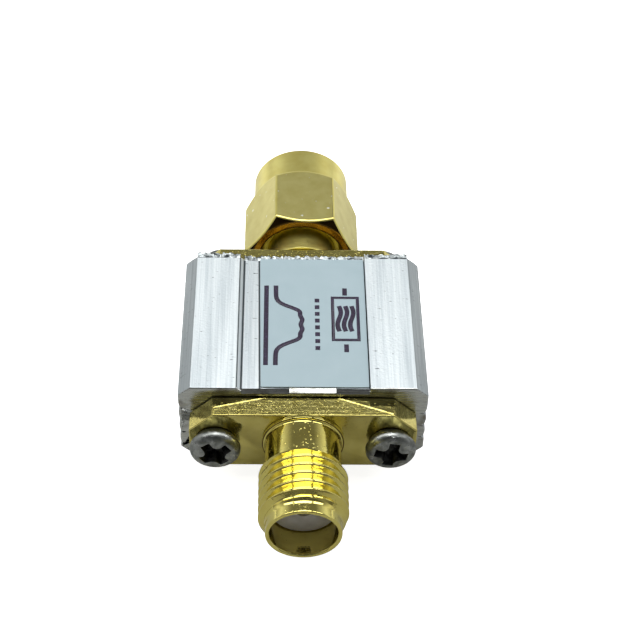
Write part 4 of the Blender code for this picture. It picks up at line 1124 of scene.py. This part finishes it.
bm = lathe(bmesh.new(), eased(chain, 0.04))
sizes = (tapped_from, NUT_END, THREAD_PITCH, minor, major, mouth, mouth)
add_thread(bm, satin_gold, sizes, phase=NUT_THREAD_PHASE, inside=1.0)
nut = piece_from("hex_nut", bm, satin_gold, milled_gold)
hexagon = [(corner_radius * math.cos(NUT_TURN + math.radians(60) * i),
            -corner_radius * math.sin(NUT_TURN + math.radians(60) * i)) for i in range(6)]
cut(nut, piece_from("cut_hexagon", prism(hexagon, NUT_NEAR - 1, NUT_END + 1)), "INTERSECT")
settle(nut)


def on_hexagon(edge):
    """Edges of the milled flats, which lie outside the round part."""
    spots = [vert.co / MM for vert in edge.verts]
    outside = min(math.hypot(spot.x, spot.z) for spot in spots) > ROUND_RADIUS + 0.05
    return outside and edge.calc_face_angle(0) > math.radians(22)


break_edges(nut, FLAT_ROUNDING, 3, on_hexagon)
# Faced end, which faces the flange: painted shade, a brown gold with a dark ring round the bore where nut
# and flange shade each other
shaded_facing_gold, tree, shader, _, plated = gold(
    "gold_facing_painted_shade", "#C89A48", "#A87A2C", 0.8, 0.1, 0.16, 0.3, 0.002)
place = add(tree, "ShaderNodeTexCoord").outputs["Object"]
place = add(tree, "ShaderNodeVectorMath", {0: place, 1: (1, 0, 1)}, operation="MULTIPLY").outputs[0]
from_axis = add(tree, "ShaderNodeVectorMath", {0: place}, operation="LENGTH").outputs["Value"]
from_shade_ring = abs(Number(tree, from_axis) - SHADE_RING * MM)
# Painted shade: the dark ring on the faced end
tint(tree, shader, ramp(tree, from_shade_ring, 0.16 * MM, 0.3 * MM), plated, "#33240C")
nut.data.materials.append(shaded_facing_gold)
for face in nut.data.polygons:
    x, y, z = face.center / MM
    flat = abs(face.normal.y) < 2 * FLAT_SKIN and math.hypot(x, z) > ACROSS_FLATS / 2 - FLAT_SKIN
    flat = flat and face.area > FLAT_LEAST_AREA * MM**2
    faced = face.normal.y < -FACING_LEAN and y < NUT_NEAR + FACING_REACH
    face.material_index = 1 if flat else 2 if faced else 0
hand_over(nut, "nut", "gold_plated_brass", "coupling_nut")


# Screws: four M2 pan-head machine screws with a cross recess, cold headed from steel wire, thread
# rolled, and dark nickel plated. They hold the flanges on the ports of the housing.
SCREW_RADIUS = 1.0
SCREW_LENGTH = 6.0
SCREW_PITCH = 0.4
SCREW_ROOT = 0.76
SCREW_ROWS = 8
SCREW_COLUMNS = 64
SCREW_POINT = 0.35
THREAD_BELOW_HEAD = 0.2
HEAD_SEAT_RADIUS = 1.45
HEAD_RADIUS = 1.8
HEAD_LOW = 0.6
HEAD_EDGE = 0.7
HEAD_FACE_RADIUS = 1.28
HEAD_FACE_HEIGHT = 1.22
HEAD_HEIGHT = 1.4
RECESS_REACH = 1.28
RECESS_ARM = 0.38
RECESS_ARM_END = 0.4
RECESS_CORNER = 0.52
RECESS_DEPTH = 0.9
RECESS_TAPER = 0.58
RECESS_EDGE = 0.035
RECESS_RIM = 1.03
RECESS_SKIN = 0.01
FLOOR_LEAN = 0.75
CROWN_SHARE = 0.8
SCREW_TURNS = (-36, 11, 38, 7)
# Dark nickel: barrel plated, cloudy grey with small knocks and a half-matte skin
dark_nickel, tree, shader = new_material("dark_nickel_plated_steel", "#8E918E", 1.0, 0.3)
clouds = noise(tree, mapped(tree, 0.6), 0.36, 0.64, 4.0)
knocks = noise(tree, mapped(tree, 0.2), 0.6, 0.75, 2.0)
tint(tree, shader, clouds, "#A3A6A3", "#6E716D")
worn(tree, shader, clouds, 0.24, 0.38)
relief(tree, shader, knocks, -0.02, relief(tree, shader, noise(tree, mapped(tree, 0.12)), 0.004))
tip = SCREW_LENGTH - SCREW_POINT
chain = [(0, SCREW_LENGTH), (SCREW_RADIUS * 0.7, SCREW_LENGTH), (SCREW_ROOT, tip)]
head = [(SCREW_ROOT, THREAD_BELOW_HEAD), (SCREW_RADIUS, 0), (HEAD_SEAT_RADIUS, 0), (HEAD_RADIUS, -HEAD_LOW)]
rounding = [(HEAD_RADIUS, -HEAD_EDGE)]
for i in range(1, 13):
    angle = math.radians(90) * i / 12
    radius = HEAD_FACE_RADIUS + (HEAD_RADIUS - HEAD_FACE_RADIUS) * math.cos(angle)
    rounding.append((radius, -HEAD_EDGE - (HEAD_FACE_HEIGHT - HEAD_EDGE) * math.sin(angle)))
for i in range(1, 7):
    turn = i / 6
    crown = HEAD_HEIGHT - (HEAD_HEIGHT - HEAD_FACE_HEIGHT) * (1 - turn) ** 2
    rounding.append((HEAD_FACE_RADIUS * (1 - turn), -crown))
bm = lathe(bmesh.new(), chain, SCREW_COLUMNS)
lathe(bm, eased(head, 0.06) + rounding, SCREW_COLUMNS)
sizes = (THREAD_BELOW_HEAD, tip, SCREW_PITCH, SCREW_ROOT, SCREW_RADIUS, SCREW_ROOT, SCREW_ROOT)
add_thread(bm, dark_nickel, sizes, counts=(SCREW_COLUMNS, SCREW_ROWS))
pattern = piece_from("screw_pattern", bm, dark_nickel)
recess = bmesh.new()
half_way = RECESS_REACH * 0.6
quarter = [(RECESS_ARM_END, RECESS_REACH), (RECESS_ARM, half_way), (RECESS_ARM * 1.1, half_way * 0.86)]
quarter += [(RECESS_CORNER, RECESS_CORNER), (half_way * 0.86, RECESS_ARM * 1.1), (half_way, RECESS_ARM)]
quarter += [(RECESS_REACH, RECESS_ARM_END)]
outline = []
for i in range(4):
    turn = -math.pi / 2 * i
    for x, z in quarter:
        outline.append((x * math.cos(turn) - z * math.sin(turn), x * math.sin(turn) + z * math.cos(turn)))
rise = HEAD_HEIGHT * 0.2
top, floor = -HEAD_HEIGHT - rise, RECESS_DEPTH - HEAD_HEIGHT
rims = []
for y, scale in ((top, 1 + (1 - RECESS_TAPER) * rise / RECESS_DEPTH), (floor, RECESS_TAPER)):
    rims.append([recess.verts.new((x * scale * MM, y * MM, z * scale * MM)) for x, z in outline])
for i in range(len(outline)):
    j = (i + 1) % len(outline)
    recess.faces.new((rims[0][i], rims[0][j], rims[1][j], rims[1][i]))
recess.faces.new(rims[0])
recess.faces.new(rims[1])
cut(pattern, piece_from("cut_recess", recess))
settle(pattern)


def on_recess_rim(edge):
    """Edges where the recess breaks through the head's crown."""
    on_crown = max(vert.co.y for vert in edge.verts) < -HEAD_EDGE * MM
    return on_crown and edge.calc_face_angle(0) > math.radians(50)


break_edges(pattern, RECESS_EDGE, 2, on_recess_rim)
# The recess's walls and floor are told from the crown by their place and their slope
in_recess = []
for face in pattern.data.polygons:
    x, y, z = face.center / MM
    inside = math.hypot(x, z) < RECESS_REACH * RECESS_RIM and y < RECESS_DEPTH - HEAD_HEIGHT + RECESS_SKIN
    in_recess.append(inside and (abs(face.normal.y) < FLOOR_LEAN or y > -HEAD_FACE_HEIGHT * CROWN_SHARE))

# The tree sets a screw on each corner of the two flanges, the rear pair turned round
SCREW_INPUTS = {"Spacing": 0.0, "Front": 0.0, "Rear": 0.0, "Turn 0": 0.0, "Turn 1": 0.0}
SCREW_INPUTS.update({"Turn 2": 0.0, "Turn 3": 0.0, "Finish": None})
tree, given = new_tree("flange_screws", SCREW_INPUTS)
joined = add(tree, "GeometryNodeJoinGeometry")
for number in range(4):
    side, rear = (-0.5, 0.5)[number % 2], number > 1
    x = given["Spacing"] * side
    spot = add(tree, "ShaderNodeCombineXYZ", {0: x, 1: given["Rear" if rear else "Front"]}).outputs[0]
    angle = add(tree, "ShaderNodeCombineXYZ", {1: given[f"Turn {number}"], 2: math.pi if rear else 0.0})
    seat = add(tree, "GeometryNodeMeshLine", {"Count": 1, "Start Location": spot}).outputs[0]
    screw = {"Points": seat, "Instance": given["Geometry"], "Rotation": angle.outputs[0]}
    fixed = add(tree, "GeometryNodeInstanceOnPoints", screw).outputs[0]
    tree.links.new(fixed, joined.inputs[0])
end_tree(tree, joined.outputs[0], given["Finish"])
screws = pattern
modifier = screws.modifiers.new("flange_screws", "NODES")
modifier.node_group = tree
turns = {f"Turn {i}": math.radians(angle) for i, angle in enumerate(SCREW_TURNS)}
places = {"Spacing": 2 * PORT_PLACE, "Front": FLANGE_FACE - SEAT_GAP, "Rear": REAR_FACE + SEAT_GAP}
values = {name: value * MM for name, value in places.items()}
set_inputs(modifier, {**values, **turns, "Finish": dark_nickel})
screws.name = "flange_screws"
settle(screws)
# Recess: painted shade, a dark and dull nickel in the cross recess
recess_shade_nickel, tree, shader = new_material("nickel_painted_recess_shade", "#4A4B49", 1.0, 0.45)
recess_shade_mottle = noise(tree, mapped(tree, 0.3))
tint(tree, shader, recess_shade_mottle, "#4E4F4D", "#262725")
worn(tree, shader, recess_shade_mottle, 0.35, 0.55)
screws.data.materials.append(recess_shade_nickel)
for face in screws.data.polygons:
    face.material_index = 1 if in_recess[face.index % len(in_recess)] else 0
nodes = ("screw_front_left", "screw_front_right", "screw_rear_left", "screw_rear_right")
hand_over(screws, "filter", "screw_steel", *nodes)


# Label: a matte film sticker pushed against the right wall of the bed, a little askew. Its printed
# matter is generic: a pass band, a dashed rule and the drawing symbol of a band filter.
LABEL_CORNER = 0.12
LABEL_FRONT_SHORT = 0.27
INK_THICKNESS = 0.012
STROKE = 0.34
# Film: matte pale blue polyester with a barely cloudy coat
film, tree, shader = new_material("matte_label_film", "#AFC3CA", 0.0, 0.55, IOR=1.58)
coat = noise(tree, mapped(tree, 1.8), 0.3, 0.7)
tint(tree, shader, coat, "#A9BDC4", "#A4B9C0")
relief(tree, shader, noise(tree, mapped(tree, 0.09)), 0.0015)
# Ink: thermal transfer, dark violet, thinner where the film's grain kept it off
ink, tree, shader = new_material("printed_ink", "#33243F", 0.0, 0.42)
thin = noise(tree, mapped(tree, 0.12), 0.5, 0.75)
tint(tree, shader, thin, "#281A33", "#44375A")
worn(tree, shader, thin, 0.36, 0.55)
label_front = LABEL_LOW.y + LABEL_FRONT_SHORT
corners = [(LABEL_LOW.x, LABEL_HIGH.y), (LABEL_LOW.x + LABEL_SKEW, label_front)]
corners += [(LABEL_HIGH.x, label_front), (LABEL_HIGH.x, LABEL_HIGH.y)]
outline = eased(corners, LABEL_CORNER, True)
bm = bmesh.new()
face = bm.faces.new([bm.verts.new((x * MM, y * MM, LABEL_LOW.z * MM)) for x, y in outline])
grown = bmesh.ops.extrude_face_region(bm, geom=[face])["geom"]
moved = [item for item in grown if isinstance(item, bmesh.types.BMVert)]
bmesh.ops.translate(bm, verts=moved, vec=(0, 0, (LABEL_HIGH.z - LABEL_LOW.z - INK_THICKNESS) * MM))
label = piece_from("label_film", bm, film)
hand_over(label, "filter", "label_film", "label")

# The tree prints every line of a drawing as a flat stroke of ink
tree, given = new_tree("inked_strokes", {"Stroke": 0.0, "Ink": 0.0, "Finish": None})
lines = add(tree, "GeometryNodeMeshToCurve", {"Mesh": given["Geometry"]}).outputs[0]
level = add(tree, "GeometryNodeSetCurveNormal", {"Curve": lines}, mode="Z_UP").outputs[0]
nib_size = {"Width": given["Stroke"], "Height": given["Ink"]}
nib = add(tree, "GeometryNodeCurvePrimitiveQuadrilateral", nib_size)
inked = {"Curve": level, "Profile Curve": nib.outputs[0], "Fill Caps": True}
end_tree(tree, add(tree, "GeometryNodeCurveToMesh", inked).outputs[0], given["Finish"])


def response(share):
    """Height of the pass band's curve at a share of its width."""
    rise = 1 / (1 + math.exp(-(share - 0.27) * 34)) - 1 / (1 + math.exp(-(share - 0.73) * 34))
    return rise * (1 - 0.03 * math.cos((share - 0.5) * 54))


drawing = []


def draw(low_x, tall, start_y, long, points):
    """Add a line given as shares of a column; reading runs toward -Y with its top toward +X."""
    drawing.append([(low_x + up * tall, start_y - over * long) for over, up in points])


column = (-2.7, 2.7, 2.45, 8.05)
draw(*column, [(i / 80, 0.26 + 0.7 * response(i / 80)) for i in range(81)])
draw(*column, [(0.0, 0.0), (1.0, 0.0)])
for i in range(8):
    draw(0.45, 1.2, 1.2, 5.5, [(i / 8 + 0.02, 0.5), (i / 8 + 0.09, 0.5)])
box = (2.2, 1.85, 1.2, 4.3)
draw(*box, [(0, 0), (0, 1), (1, 1), (1, 0), (0, 0)])
for level_up in (0.25, 0.5, 0.75):
    wave = [(0.2 + 0.6 * i / 24, level_up + 0.07 * math.sin(i / 24 * 2 * math.pi)) for i in range(25)]
    draw(*box, wave)
draw(2.2, 1.85, 2.3, 1.0, [(0.1, 0.5), (0.85, 0.5)])
draw(2.2, 1.85, -3.4, 1.0, [(0.15, 0.5), (0.9, 0.5)])
print_mesh = bmesh.new()
ink_level = (LABEL_HIGH.z - INK_THICKNESS / 2) * MM
for chain in drawing:
    spots = [print_mesh.verts.new((x * MM, y * MM, ink_level)) for x, y in chain]
    for one, two in zip(spots, spots[1:]):
        print_mesh.edges.new((one, two))
label_print = piece_from("label_print", print_mesh, ink)
modifier = label_print.modifiers.new("inked_strokes", "NODES")
modifier.node_group = tree
set_inputs(modifier, {"Stroke": STROKE * MM, "Ink": INK_THICKNESS * MM, "Finish": ink})
settle(label_print)
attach(label_print, "filter")
